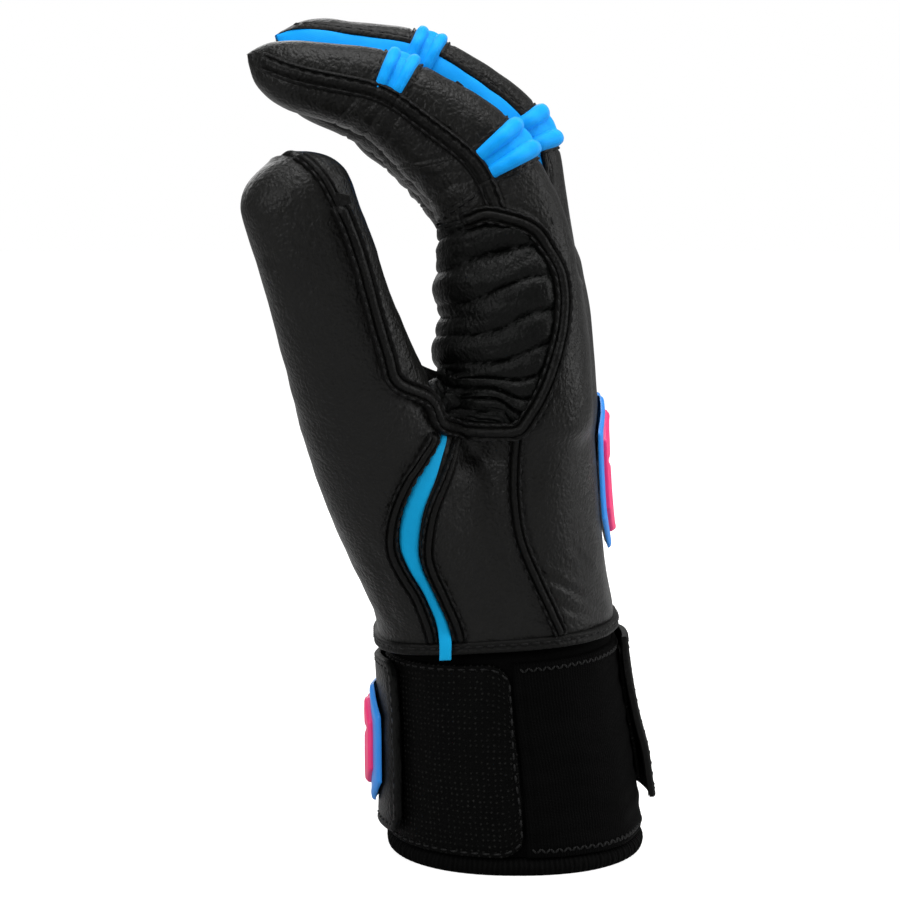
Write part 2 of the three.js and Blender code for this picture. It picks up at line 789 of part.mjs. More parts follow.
// The back panel runs from the hem into the backs of the four fingers
function backPanel() {
  const heights = [...spread(hemBase, gussetBottom, 8), ...spread(gussetBottom, crotchHeight, 6).slice(1)];
  const rows = heights.map((height) => fingers.map((finger, k) => {
    if (k) return laneShares.map((share) => bodySpot(k, height, share, true));
    const low = height <= gussetBottom;
    const near = low ? sidePoint("backFront", height) : indexSpot(height, gussetTurn(height));
    const pivot = (h) => (
      palmAxis(h).setY(laneEdges[1]).lerp(indexAxis(h), ease(h, morphStart, crotchHeight))
    );
    return castRow(pivot, near, bodySpot(0, height, 1, true), laneColumns);
  }));
  const patches = fingers.map((finger, k) => rows.map((row) => row[k]));
  fingers.forEach((finger, k) => {
    const crotchRun = crotchHeight - rootHeight;
    const top = spread(0, 1, 4).slice(1).map((row) => laneShares.map((share) => {
      const guess = leatherTurn(finger, crotchRun + (finger.toKnuckle - crotchRun) * row, true, share);
      const run = crotchRun + (knuckleStart(finger, guess) - crotchRun) * row;
      const height = finger.limb.at(run).centre.z;
      if (k || height > gussetTop) return finger.limb.spot(run, guess);
      const near = gussetTurn(height);
      return finger.limb.spot(run, near + (edgeTurn(finger, run) - near) * share);
    }));
    patches.push([rows[rows.length - 1][k], ...top]);
  });
  handPanel("back_panel", patches);
}

// The palm panel runs from the hem into the fronts of the four fingers
function palmPanel() {
  const heights = [...spread(hemBase, morphStart, 8), ...spread(morphStart, crotchHeight, 5).slice(1)];
  const rows = heights.map((height) => fingers.map((finger, k) => {
    if (k) return laneShares.map((share) => bodySpot(k, height, share, false));
    const near = thenarPoint(height);
    const far = bodySpot(0, height, 1, false);
    return laneShares.map((share) => {
      if (share === 0) return near;
      return share === 1 ? far : settle(near.clone().lerp(far, share));
    });
  }));
  const patches = fingers.map((finger, k) => rows.map((row) => row[k]));
  const crotchRun = crotchHeight - rootHeight;
  fingers.forEach((finger, k) => {
    const turns = (run) => laneShares.map((share) => {
      const turn = leatherTurn(finger, run, false, share);
      const far = leatherTurn(finger, run, false, 1);
      return k ? turn : gussetFoldTurn + (far - gussetFoldTurn) * share;
    });
    const flapEnd = knuckleStart(index, gussetFoldTurn) - crotchRun;
    const seam = (gussetTopRun(gussetFoldTurn) - crotchRun) / flapEnd;
    const steps = k ? spread(0, 1, 4) : [0, seam / 2, seam, (seam + 1) / 2, 1];
    const top = steps.slice(1).map((row) => {
      const middle = crotchRun + (finger.toKnuckle - crotchRun) * row;
      const runAt = (turn) => crotchRun + (knuckleStart(finger, turn) - crotchRun) * row;
      return turns(middle).map((turn) => finger.limb.spot(runAt(turn), turn));
    });
    patches.push([rows[rows.length - 1][k], ...top]);
  });
  const wrap = spread(-90, gussetFoldTurn, laneColumns);
  patches.push([0, 0.5, 1].map((row) => wrap.map((turn) => {
    const low = gussetTopRun(turn);
    return index.limb.spot(low + (knuckleStart(index, turn) - low) * row, turn);
  })));
  handPanel("palm_panel", patches);
}

// The last row of a tip folds over the end and meets the other leather along a thin edge
function endRow(limb, turns) {
  const { along } = limb.at(limb.length);
  const [first, last] = [turns[0], turns[turns.length - 1]].map((turn) => limb.point(limb.length, turn));
  return turns.map((turn) => {
    const way = last.clone().sub(first);
    const reach = limb.point(limb.length, turn).sub(first).dot(way) / way.lengthSq();
    return faced(first.clone().lerp(last, reach).addScaledVector(along, tipFold), along);
  });
}

// The thumb's own leather on its outer side, from the hem to the tip
const thumbNearTurns = [[0.5, -62], [0.7, -55], [0.85, -50], [1, -60]];
const thumbFarTurn = -246;
const thumbColumns = 10;
const thumbStart = thumb.runAt(gussetBottom + seamStep * 3.5);
const thumbSmooth = thumb.length - thumbRound * 1.5;
const thumbNear = (run) => trend(thumbNearTurns, run / thumb.length);

const thumbWall = (run, turn) => (
  run < thumbSmooth ? settle(thumb.point(run, turn)) : thumb.spot(run, turn)
);

// Runs that close up towards a rounded end
function roundedRuns(start, end, roundness, count) {
  const cap = spread(0, 90, 4).slice(1).map((angle) => (
    end - roundness + roundness * Math.sin(angle * degree)
  ));
  return [...spread(start, end - roundness, count), ...cap];
}

function thumbRows(turnsAt) {
  const rows = roundedRuns(thumbStart, thumb.length, thumbRound, 6).map((run) => (
    turnsAt(run).map((turn) => thumbWall(run, turn))
  ));
  return [...rows, endRow(thumb, turnsAt(thumb.length))];
}

function thumbPanel() {
  const rows = spread(hemBase, gussetBottom, 7).map((height) => (
    castRow(thumbAxis, sidePoint("insertFront", height), thenarPoint(height), thumbColumns, true)
  ));
  const upper = thumbRows((run) => spread(thumbNear(run), thumbFarTurn, thumbColumns));
  const lower = rows[rows.length - 1];
  [1, 2].forEach((step) => {
    const height = gussetBottom + seamStep * step;
    rows.push(lower.map((point, k) => {
      if (k === 0) return sidePoint("thumbSeam", height);
      return k === thumbColumns ? thenarPoint(height) : settle(point.clone().lerp(upper[0][k], step / 3));
    }));
  });
  handPanel("thumb_panel", [[...rows, ...upper]]);
}

// The bottom of the fork between thumb and hand, from the thumb side to the palm side
function forkRow() {
  const from = sidePoint("thumbSeam", gussetBottom + seamStep * 2);
  const to = thenarPoint(morphStart + seamStep / 2);
  return spread(0, 1, 4).map((share) => {
    if (share === 0) return from;
    if (share === 1) return to;
    const guess = from.clone().lerp(to, share);
    guess.z += Math.sin(share * Math.PI) * seamStep;
    return settle(guess);
  });
}

function thumbBack() {
  const rows = thumbRows((run) => spread(thumbNear(run), thumbFarTurn + 360, 4));
  handPanel("thumb_back", [[forkRow(), ...rows]], { gap: seamGap });
}

// A place part of the way along a line of points
function lineAt(line, share) {
  const place = share * (line.length - 1);
  const k = Math.min(Math.floor(place), line.length - 2);
  return faced(
    line[k].clone().lerp(line[k + 1], place - k),
    line[k].facing.clone().lerp(line[k + 1].facing, place - k),
  );
}

// The gathered web between thumb and index finger: its pleats fan from the back edge to the fork
const gussetBackHeights = [1, 0.972, 0.93, 0.88, 0.83, 0.785, 0.745, 0.715, 0.695, 0.684];
const gussetFrontHeights = [0.94, 0.885, 0.83, 0.782];
const pleatShares = [0, 0.1, 0.9, 1, 1, 0.9, 0.7, 0.1, 0];
const gussetBackLine = gussetBackHeights.map((share) => (
  indexSpot(share * gussetTop, gussetTurn(share * gussetTop))
));
const underReach = seamStep * 4;
const gussetUnderLine = [0.8, 0.5].map((share) => (
  sidePoint("insertBack", gussetBottom, share * underReach)
));

function webGusset() {
  const topRow = spread(-90, gussetFoldTurn, 8).map((turn) => index.limb.spot(gussetTopRun(turn), turn));
  const starts = [...gussetBackLine, ...gussetUnderLine];
  const ends = [
    topRow[8],
    ...gussetFrontHeights.map((share) => indexSpot(share * gussetTop, gussetFoldTurn)),
    ...forkRow().reverse(),
    sidePoint("thumbSeam", gussetBottom + seamStep),
    sidePoint("thumbSeam", gussetBottom),
  ];
  starts[0] = topRow[0];
  const rows = spread(0, 1, pleatCount * 2 + 2).slice(1).map((share, k) => {
    const row = settleRow(indexAxis, lineAt(starts, share), lineAt(ends, share), 8);
    const height = k % 2 ? pleatHeight * Math.min(1, (pleatCount * 2 + 1 - k) / pleatFade) : 0;
    return row.map((point, n) => Object.assign(point, { lift: height * pleatShares[n] }));
  });
  handPanel("web_gusset", [[topRow, ...rows]]);
}

// A narrow raised strip along a line of points on the hand
function strip(name, line, width, raise = 0) {
  const rows = line.map((point, k) => {
    const before = line[Math.max(k - 1, 0)];
    const after = line[Math.min(k + 1, line.length - 1)];
    const aside = after.clone().sub(before).cross(point.facing).normalize();
    return [-1, 0, 1].map((share) => {
      if (!share) return Object.assign(point.clone(), { facing: point.facing, lift: weltCrown });
      return settle(point.clone().addScaledVector(aside, (share * width) / 2));
    });
  });
  handPanel(name, [rows], { wall: weltWall, lift: seamGap + weltWall + raise, gap: 0 });
}

// The thumb side below the gusset: a leather panel, a flex insert and three welts
function sideSurfaces() {
  const heights = spread(hemBase, gussetBottom, 10);
  const between = (from, to, height, count) => spread(0, 1, count).map((share) => {
    const [a, b] = [from, to].map((line) => sidePoint(line, height));
    return share % 1 ? sideSpot(a.x + (b.x - a.x) * share, height) : [a, b][share];
  });
  handPanel("side_panel", [heights.map((height) => between("insertBack", "backFront", height, 4))]);
  const tab = layerGap * 2 + weltWall + flexWall;
  const crossing = [[-tabReach, tab], [0, tab], [hemBand, tab], [hemBand + tabReach, 0]].map(([rise, lift]) => (
    between("insertFront", "insertBack", hemBase + rise, 2).map((point) => Object.assign(point, { lift }))
  ));
  const upper = spread(hemBase + hemBand + tabReach, gussetBottom, 10).slice(1);
  handPanel(
    "flex_insert",
    [[...crossing, ...upper.map((height) => between("insertFront", "insertBack", height, 2))]],
    { colour: blue, wall: flexWall, rough: flexRough },
  );
  const weltLine = (line, aside, top) => (
    spread(hemBase + hemBand + weltWall, top, 12).map((height) => sidePoint(line, height, aside))
  );
  const besideInsert = (weltWidth + seamGap * 2) / 2;
  const frontTop = gussetBottom - edgeBandWidth * 1.6;
  strip("welt_front", weltLine("insertFront", -besideInsert, frontTop), weltWidth);
  strip("welt_middle", weltLine("insertBack", besideInsert, gussetBottom - edgeBandWidth), weltWidth);
  strip("welt_back", weltLine("backFront", 0, gussetBottom - edgeBandWidth), weltWidth);
}

// The double-stitched strip round the gusset, and the one that goes on to the tip of the thumb
function gussetEdge() {
  const thumbLine = (from, to, count) => (
    spread(from, to, count).map((run) => thumbWall(run, thumbNear(run)))
  );
  const tab = thumb.runAt(gussetTop);
  const seam = [2, 1, 0.4].map((step) => sidePoint("thumbSeam", gussetBottom + seamStep * step));
  const topTurns = [-96, -112, -130, -148];
  const under = [0.16, 0.5, 0.8].map((share) => (
    sidePoint("insertBack", gussetBottom, share * underReach)
  ));
  strip("gusset_edge", [
    ...thumbLine(tab, thumbStart, 7),
    ...seam,
    ...under,
    ...gussetBackLine.slice(1).reverse(),
    ...topTurns.map((turn) => index.limb.spot(gussetTopRun(turn), turn)),
  ], edgeBandWidth, edgeBandRaise);
  strip("thumb_seam", thumbLine(thumb.length - tipFold, tab + seamGap, 5), edgeBandWidth * 0.7);
}

// The turned lower edge of the leather, all round
function hemRing() {
  const turns = spread(0, 360, 48);
  const rows = spread(hemBase, hemBase + hemBand, 1).map((height) => turns.map((turn) => (
    cast(palmAxis(height), new THREE.Vector3(Math.cos(turn * degree), Math.sin(turn * degree), 0))
  )));
  handPanel("hem_band", [rows], { wall: weltWall, lift: seamGap + weltWall, gap: 0 });
}

// The blue strips between neighbouring fingers, from the knuckles down to the crotch and up again
function fourchettes() {
  const crotchRun = crotchHeight - rootHeight;
  [0, 1, 2].forEach((k) => {
    const [a, b] = [fingers[k], fingers[k + 1]];
    const [back, front] = [true, false].map((toBack) => bodySpot(k, crotchHeight, 1, toBack));
    const across = front.clone().sub(back).normalize().multiplyScalar(leatherWall + seamGap);
    const floor = [back.add(across), front.sub(across)];
    const middle = spread(0, 1, 3).map((share) => {
      const point = floor[0].clone().lerp(floor[1], share);
      return faced(point.setY(laneEdges[k + 1]).setZ(crotchHeight - seamGap), axes[2]);
    });
    const leg = (finger, side) => legShares.map((row) => spread(0, 1, 3).map((share) => {
      const edge = edgeTurn(finger, crotchRun + (finger.toKnuckle - crotchRun) * row);
      const turn = side * (edge + (180 - edge * 2) * share);
      return finger.limb.spot(crotchRun + (knuckleStart(finger, turn) - crotchRun) * row, turn);
    }));
    const rows = [...leg(a, 1).reverse(), middle, ...leg(b, -1)];
    const finish = { colour: blue, wall: flexWall, rough: flexRough, gap: seamGap };
    handPanel(`${a.name}_${b.name}_fourchette`, [rows], finish);
  });
}

// Rows of points from the tip joint to the end of a finger
function tipRows(finger, start, turns) {
  const { limb } = finger;
  const runs = turns.map((turn) => roundedRuns(start(turn), limb.length, tipRound, 2));
  const rows = runs[0].map((_, row) => turns.map((turn, n) => limb.spot(runs[n][row], turn)));
  return [...rows, endRow(limb, turns)];
}

// The finger pieces past the knuckle. Blue flex pieces cross both joints on the back and run on along
// the sides that face a neighbour; the leather folds on the palm side.
const flexLifts = [0, 0.9, 1, -0.2, 1, 0.9, 0];
const foldLifts = [0, 1, -0.5, 1, -0.5, 1, 0];
function fingerPieces(finger) {
  const { name } = finger;
  const near = finger === index ? -90 : -stripTurn;
  const far = finger === little ? 90 : stripTurn;
  const backTurns = spread(near, far, 6);
  const frontTurns = spread(180 - far, 180 - near, 6);
  const nearTurns = near === -90 ? [-90, -60, -30] : [stripTurn - 180, near, -52, -26];
  const farTurns = far === 90 ? [30, 60, 90] : [26, 52, far, 180 - stripTurn];
  const flexTurns = [...nearTurns, 0, ...farTurns];
  const edge = (joint, side) => (turn) => jointEdges(finger, joint, turn)[side];
  const sideFade = (turn) => 1 - ease(Math.abs(turn), 50, 96);
  const segments = [["knuckle", "joint", "middle"], ["joint", null, "tip"]];
  segments.forEach(([below, above, part]) => {
    const start = edge(below, 1);
    const stop = above && edge(above, 0);
    [[backTurns, "back"], [frontTurns, "front"]].forEach(([turns, side]) => {
      const rows = above ? fingerRows(finger, start, stop, 4, turns) : tipRows(finger, start, turns);
      handPanel(`${name}_${side}_${part}`, [rows]);
    });
    const scale = below === "knuckle" ? 1 : jointRidgeShare;
    const flex = fingerRows(finger, edge(below, 0), start, flexLifts.length - 1, flexTurns);
    flex.forEach((row, k) => row.forEach((point, n) => {
      point.lift = flexLifts[k] * ridgeHeight * scale * sideFade(flexTurns[n]);
    }));
    const strips = [near, far].filter((turn) => Math.abs(turn) < 90).map((turn) => {
      const pair = turn < 0 ? [-180 - turn, turn] : [turn, 180 - turn];
      return above ? fingerRows(finger, start, stop, 4, pair) : tipRows(finger, start, pair).slice(0, -2);
    });
    handPanel(`${name}_${below}_flex`, [flex, ...strips], { colour: blue, wall: flexWall, rough: flexRough });
    const foldTurns = spread(flexTurns[flexTurns.length - 1], 360 + flexTurns[0], 6);
    const fold = fingerRows(finger, edge(below, 0), start, foldLifts.length - 1, foldTurns);
    fold.forEach((row, k) => row.forEach((point, n) => {
      point.lift = foldLifts[k] * foldHeight * Math.sin((n / (row.length - 1)) * Math.PI);
    }));
    handPanel(`${name}_${below}_fold`, [fold]);
  });
}

// A place on the cuff by height and turn; near the hem its rows tilt as the hem does
function cuffSpot(height, turn) {
  const spot = cuff.spot(cuff.runAt(height), turn);
  const tilt = (hemRise * (spot.x + hemReach / 2)) / hemReach;
  const place = spot.clone().setZ(height + tilt * ease(height, hemBase / 2, hemBase));
  return faced(place, spot.facing.clone().setZ(0));
}

// Rows of cuff places between two turns and two heights; corners are cut at the named ends
function cuffRows(turns, low, high, liftAt, corners = []) {
  const [first, last] = [turns[0], turns[turns.length - 1]];
  const columns = Math.ceil(Math.abs(last - first) / cuffStep);
  const heights = [low, low + cornerCut, ...spread(low + cornerCut, high - cornerCut, 3).slice(1), high];
  return heights.map((height, k) => {
    const cut = k === 0 || k === heights.length - 1 ? cornerTurn * Math.sign(last - first) : 0;
    const from = first + (corners.includes("first") ? cut : 0);
    const to = last - (corners.includes("last") ? cut : 0);
    return spread(from, to, columns).map((turn) => (
      Object.assign(cuffSpot(height, turn), { lift: liftAt(turn, height) })
    ));
  });
}

function cuffPieces() {
  const round = spread(0, 360, 36);
  const outside = spread(bindingHeight + layerGap, hemBase - tuckRoom, 3);
  const sleeveHeights = [...outside, hemBase - seamGap, cuffHeight];
  const sleeve = sleeveHeights.map((height) => round.map((turn) => (
    Object.assign(cuffSpot(height, turn), { lift: height < hemBase - tuckRoom + weldReach ? 0 : -tuckDepth })
  )));
  panel("cuff_sleeve", [sleeve], { colour: deepBlack, wall: neopreneWall, rough: 0.8, gap: 0 });
  const roll = bindingShares.map(([rise, out]) => round.map((turn) => (
    Object.assign(cuffSpot(rise * bindingHeight, turn), { lift: out * bindingBulge })
  )));
  panel("cuff_binding", [roll], { wall: bindingWall, gap: 0 });
  const wrap = { wall: weltWall, lift: layerGap + weltWall, gap: 0 };
  const bottom = bindingHeight + layerGap;
  const patch = cuffRows(hookTurns, bottom, wrapTop, () => 0, ["last"]);
  const elastic = cuffRows(elasticTurns, bottom, wrapTop, () => 0);
  panel("hook_patch", [patch], { ...wrap, colour: deepBlack, rough: hookRough });
  panel("elastic_wrap", [elastic], { ...wrap, colour: deepBlack, rough: elasticRough });
}

// The height of a strap's outer face over the cuff, from its free end to its sewn root
const strapShares = [[0, 1], [0.26, 1], [0.36, 0.5], [0.48, 0.15], [0.7, 0], [1, 0]];
const palmStrapLift = (turn) => {
  const share = (turn - palmStrapTurns[0]) / (palmStrapTurns[1] - palmStrapTurns[0]);
  return palmStrapRoot + (strapFree - palmStrapRoot) * trend(strapShares, share);
};
const backStrapLift = (turn, height) => {
  const share = (turn - backStrapTurns[0]) / (backStrapTurns[1] - backStrapTurns[0]);
  const corner = (1 - ease(share, 0, 0.3)) * (1 - ease(height, backStrapLow, backStrapHigh));
  return backStrapRoot + (strapFree - backStrapRoot) * trend(strapShares, share) + strapCorner * corner;
};

function straps() {
  const band = { wall: strapWall, gap: 0 };
  const pad = { wall: padWall, lift: padTop, colour: deepBlack, rough: hookRough, gap: 0 };
  const padRows = (turns, low, high) => cuffRows(turns, low + padInset, high - padInset, () => 0);
  const palmBand = cuffRows(palmStrapTurns, palmStrapLow, palmStrapHigh, palmStrapLift, ["first"]);
  panel("palm_strap", [palmBand], band);
  panel("palm_strap_pad", [padRows(palmPadTurns, palmStrapLow, palmStrapHigh)], pad);
  panel("back_strap", [cuffRows(backStrapTurns, backStrapLow, backStrapHigh, backStrapLift)], band);
  panel("back_strap_pad", [padRows(backPadTurns, backStrapLow, backStrapHigh)], pad);
}

// A plain six-sided badge, longer than wide, in two layers; place gives a spot by height and aside
const badgeShares = [[-0.5, 0.45], [-0.28, 1], [0, 1], [0.28, 1], [0.5, 0.45]];
const ridgeShares = [0, 1, 0.2, 1, 0];
function badge(name, place, centre, height, width, liftAt) {
  const layer = (rim, extra, ridge) => spread(-0.5, 0.5, 8).map((row) => {
    const half = (badgeWidthAt(row) * (width - rim)) / 2;
    return spread(-1, 1, 4).map((share, n) => {
      const spot = place(centre + row * (height - rim), share * half);
      return Object.assign(spot, { lift: liftAt(spot) + extra + ridge * ridgeShares[n] });
    });
  });
  const top = layerGap * 2 + badgeBaseWall;
  const finish = { gap: 0, rough: 0.45 };
  panel(`${name}_base`, [layer(0, top, 0)], { ...finish, colour: blue, wall: badgeBaseWall });
  const raised = layer(badgeRim, top + layerGap + badgeInlayWall, badgeRidge);
  panel(`${name}_inlay`, [raised], { ...finish, colour: pink, wall: badgeInlayWall });
}
const badgeWidthAt = (row) => {
  const k = Math.min(badgeShares.findIndex(([at]) => at >= row - weldReach) || 1, badgeShares.length - 1);
  const [[r0, w0], [r1, w1]] = [badgeShares[k - 1], badgeShares[k]];
  return w0 + ((w1 - w0) * (row - r0)) / (r1 - r0);
};

function badges() {
  const handPlace = (height, aside) => lean(cast(palmAxis(height).setY(aside), axes[0]));
  badge("hand_badge", handPlace, handBadgeCentre, handBadgeHeight, handBadgeWidth, () => 0);
  const perTurn = (cuffDepth / 2) * degree;
  const wristPlace = (height, aside) => {
    const turn = wristBadgeTurn + aside / perTurn;
    return Object.assign(cuffSpot(height, turn), { turn });
  };
  const wristLift = (spot) => palmStrapLift(spot.turn);
  badge("wrist_badge", wristPlace, wristBadgeCentre, wristBadgeHeight, wristBadgeWidth, wristLift);
}

backPanel();
palmPanel();
thumbPanel();
thumbBack();
webGusset();
sideSurfaces();
gussetEdge();
hemRing();
fourchettes();
fingers.forEach(fingerPieces);
cuffPieces();
straps();
badges();

// The origin is the middle of the underside
const bounds = new THREE.Box3().setFromObject(glove);
const middle = bounds.getCenter(new THREE.Vector3()).setZ(bounds.min.z);
glove.children.forEach((mesh) => mesh.geometry.translate(-middle.x, -middle.y, -middle.z));

export default glove;
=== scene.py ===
"""A right-hand leather batting glove that stands on its cuff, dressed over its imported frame.

Lengths are millimetres in the glove's own frame until a mesh is made: +X out of the back of the hand,
-Y the thumb side, +Z up the hand. A turn is an angle round a tube: 0 is the back of the hand, -90 the
thumb side, 90 the little-finger side, 180 the palm side.
"""

import logging
import math
from dataclasses import dataclass, field
from enum import Enum
from functools import partial
from typing import Callable, Sequence

import bpy
import numpy as np
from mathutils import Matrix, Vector

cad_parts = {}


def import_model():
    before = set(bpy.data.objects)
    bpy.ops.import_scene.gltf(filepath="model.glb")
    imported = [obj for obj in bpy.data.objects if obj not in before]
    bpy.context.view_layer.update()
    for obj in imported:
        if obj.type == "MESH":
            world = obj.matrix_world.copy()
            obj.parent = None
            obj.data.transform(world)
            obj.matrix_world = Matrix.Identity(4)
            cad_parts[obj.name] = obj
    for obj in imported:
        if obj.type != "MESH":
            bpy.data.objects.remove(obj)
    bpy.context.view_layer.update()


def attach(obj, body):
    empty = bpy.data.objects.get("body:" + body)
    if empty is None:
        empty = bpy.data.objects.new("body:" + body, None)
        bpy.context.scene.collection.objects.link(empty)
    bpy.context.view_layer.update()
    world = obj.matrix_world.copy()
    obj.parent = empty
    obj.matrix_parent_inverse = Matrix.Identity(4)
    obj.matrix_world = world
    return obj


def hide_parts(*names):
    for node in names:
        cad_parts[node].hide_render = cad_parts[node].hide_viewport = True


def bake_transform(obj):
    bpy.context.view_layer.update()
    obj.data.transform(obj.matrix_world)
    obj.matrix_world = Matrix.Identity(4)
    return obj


LOG = logging.getLogger("glove")
GLOVE_CENTRE = Vector((-0.002118, 0.013007, 0.1))
FRAME_SHIFT = (14.882, 13.007, 0.0)
Array = np.ndarray
Real = Array | float
Socket, Material = bpy.types.NodeSocket, bpy.types.Material
Inputs = dict[str | int, object]
Tint = tuple[int, int, int]
Trim = tuple[float, float]
Triple = tuple[float, float, float]
Table = Sequence[Sequence[float]]
LEATHER_WALL = 1.2
FLEX_WALL = 1.2
FILLET = 6.0
SLOPE = 0.05
MARCH = 1.0

CUFF_HEIGHT, CUFF_DEPTH, CUFF_BREADTH = 62.0, 62.0, 64.0
BINDING_HEIGHT, BINDING_WALL = 4.2, 3.4
HEM_BASE, HEM_RISE, HEM_REACH, HEM_BAND = 54.0, 3.4, 60.0, 2.6
PALM_BASE, PALM_HEIGHT, PALM_DEPTH, PALM_BREADTH, PALM_CAP = 50.0, 92.0, 40.0, 84.0, 8.0
LANE_PITCH = 20.7
ROOT_HEIGHT, CROTCH_HEIGHT, MORPH_START = 112.0, 150.0, 118.0
TIP_ROUND, TIP_EDGE, TIP_FOLD = 13.0, 3.2, 0.9
BEND_SPREAD, KNUCKLE_SPREAD, JOINT_SPREAD = 14.0, 9.0, 8.0
THUMB_BASE, THUMB_LENGTH, THUMB_DEPTH, THUMB_BREADTH = 48.0, 140.0, 31.0, 24.0
THUMB_ROOT, THUMB_ROUND, THUMB_FAR = (-14.0, -12.0), 10.5, -246.0
GUSSET_TOP, GUSSET_BOTTOM, GUSSET_TOP_BAND, GUSSET_TOP_RISE = 160.5, 109.0, 2.2, 5.3
SEAM_STEP = 4.0
STRIP_TURN = 54.0


def unit(vectors: Array) -> Array:
    """Vectors divided by their lengths."""
    return vectors / np.maximum(np.linalg.norm(vectors, axis=-1, keepdims=True), 1e-12)


def ease(value: Real, low: float, high: float) -> Array:
    """A smooth step from 0 at low to 1 at high: t * t * (3 - 2 t)."""
    t = np.clip((np.asarray(value, float) - low) / (high - low), 0, 1)
    return t * t * (3 - 2 * t)


def resample(values: Array, places: Array) -> Array:
    """Smooth values between evenly counted knots, by a Catmull-Rom cubic through every knot.

    Args:
        values: knots along the first axis.
        places: where to read them, in counts of knots.

    Returns:
        The values at those places, along the first axis.
    """
    last = len(values) - 1
    places = np.asarray(places, float)
    k = np.clip(np.ceil(places).astype(int) - 1, 0, last - 1)
    t = np.clip(places - k, 0, 1).reshape((-1,) + (1,) * (values.ndim - 1))
    p0, p1, p2, p3 = (values[np.clip(k + n, 0, last)] for n in (-1, 0, 1, 2))
    return p1 + 0.5 * t * (p2 - p0 + t * (2 * p0 - 5 * p1 + 4 * p2 - p3 + t * (3 * p1 - p0 - 3 * p2 + p3)))


def trend(rows: Table, share: Real, column: int = 1) -> Array:
    """A value read from rows of (share, value, ...), smooth through every row."""
    table = np.asarray(rows, float)
    share = np.asarray(share, float)
    k = np.clip(np.searchsorted(table[:, 0], share.ravel(), "left") - 1, 0, len(table) - 2)
    t = np.clip((share.ravel() - table[k, 0]) / (table[k + 1, 0] - table[k, 0]), 0, 1)
    return resample(table[:, column], k + t).reshape(share.shape)


def powered(value: Array, power: float) -> Array:
    """A power of each value's size, with its sign kept."""
    return np.sign(value) * np.abs(value) ** power


def ringed(grid: Array) -> Array:
    """A grid that goes all the way round, its last column made its first."""
    grid[:, -1] = grid[:, 0]
    return grid


def run_along(line: Array) -> Array:
    """How far each point of a line lies from its start, along the line."""
    return np.concatenate([[0.0], np.cumsum(np.linalg.norm(np.diff(line, axis=0), axis=1))])


def glide(at: Array, run: Array, rows: Array) -> Array:
    """Rows of vectors, read at places along their run."""
    return np.stack([np.interp(at, run, rows[:, k]) for k in range(3)], -1)


class Limb:
    """A tube along a smooth centreline whose section is a superellipse: |x/a|^n + |y/b|^n = 1."""

    def __init__(self, centre: Array, depth: Array, breadth: Array, roundness: float, cap: float) -> None:
        """Works out the section's own axes at every station.

        Args:
            centre: stations of the centreline.
            depth: full size of the section from palm side to back.
            breadth: full size of the section from thumb side to little-finger side.
            roundness: the superellipse's power.
            cap: how far the rounded ends reach past the last stations.
        """
        self.centre, self.depth, self.breadth = centre, depth, breadth
        self.roundness, self.cap = roundness, cap
        ends = np.arange(len(centre))
        self.along = unit(centre[np.minimum(ends + 1, ends[-1])] - centre[np.maximum(ends - 1, 0)])
        across = np.array([0.0, 1.0, 0.0])
        self.side = unit(across - (self.along @ across)[:, None] * self.along)
        self.back = np.cross(self.side, self.along)
        self.run = run_along(centre)
        self.length = float(self.run[-1])

    def read(self, key: str, run: Real) -> Array:
        """One of the tube's own values along its run."""
        table = getattr(self, key)
        return np.interp(run, self.run, table) if table.ndim == 1 else glide(run, self.run, table)

    def point(self, run: Real, turn: Real) -> Array:
        """A point of the wall: centre + back * a * |cos|^(2/n) + side * b * |sin|^(2/n), signs kept."""
        run, turn = np.broadcast_arrays(np.asarray(run, float), np.radians(turn))
        c, s = (powered(way, 2 / self.roundness) for way in (np.cos(turn), np.sin(turn)))
        deep = (self.read("depth", run) / 2 * c)[..., None]
        wide = (self.read("breadth", run) / 2 * s)[..., None]
        return self.read("centre", run) + self.read("back", run) * deep + self.read("side", run) * wide

    def facing(self, run: Real, turn: Real) -> Array:
        """The way the wall faces, from short steps round and along the tube."""
        run, turn = np.broadcast_arrays(np.asarray(run, float), np.asarray(turn, float))
        ahead = np.minimum(run + 0.5, self.length)
        lengthwise = self.point(ahead, turn) - self.point(ahead - 1.0, turn)
        return unit(np.cross(self.point(run, turn + 1) - self.point(run, turn - 1), lengthwise))

    def run_at(self, height: Real) -> Array:
        """The run at which the centreline passes a height."""
        return np.interp(height, self.centre[:, 2], self.run)

    def reach(self, points: Array) -> Array:
        """About how far points lie outside the tube: (superellipse radius - 1) * half the smaller size."""
        near = self.centre[::2]
        gaps = (points**2).sum(1)[:, None] - 2 * points @ near.T + (near**2).sum(1)
        best = gaps.argmin(1) * 2
        guess = self.run[best] + ((points - self.centre[best]) * self.along[best]).sum(1)
        inside = np.clip(guess, 0, self.length)
        run = inside + ((points - self.read("centre", inside)) * self.read("along", inside)).sum(1)
        offset = points - self.read("centre", run)
        deep, wide = self.read("depth", run) / 2, self.read("breadth", run) / 2
        past = np.maximum(np.maximum(run - self.length, -run), 0)
        parts = (
            (offset * self.read("back", run)).sum(1) / deep,
            (offset * self.read("side", run)).sum(1) / wide,
            past / self.cap,
        )
        total = sum(np.abs(part) ** self.roundness for part in parts)
        return (total ** (1 / self.roundness) - 1) * np.minimum(deep, wide)


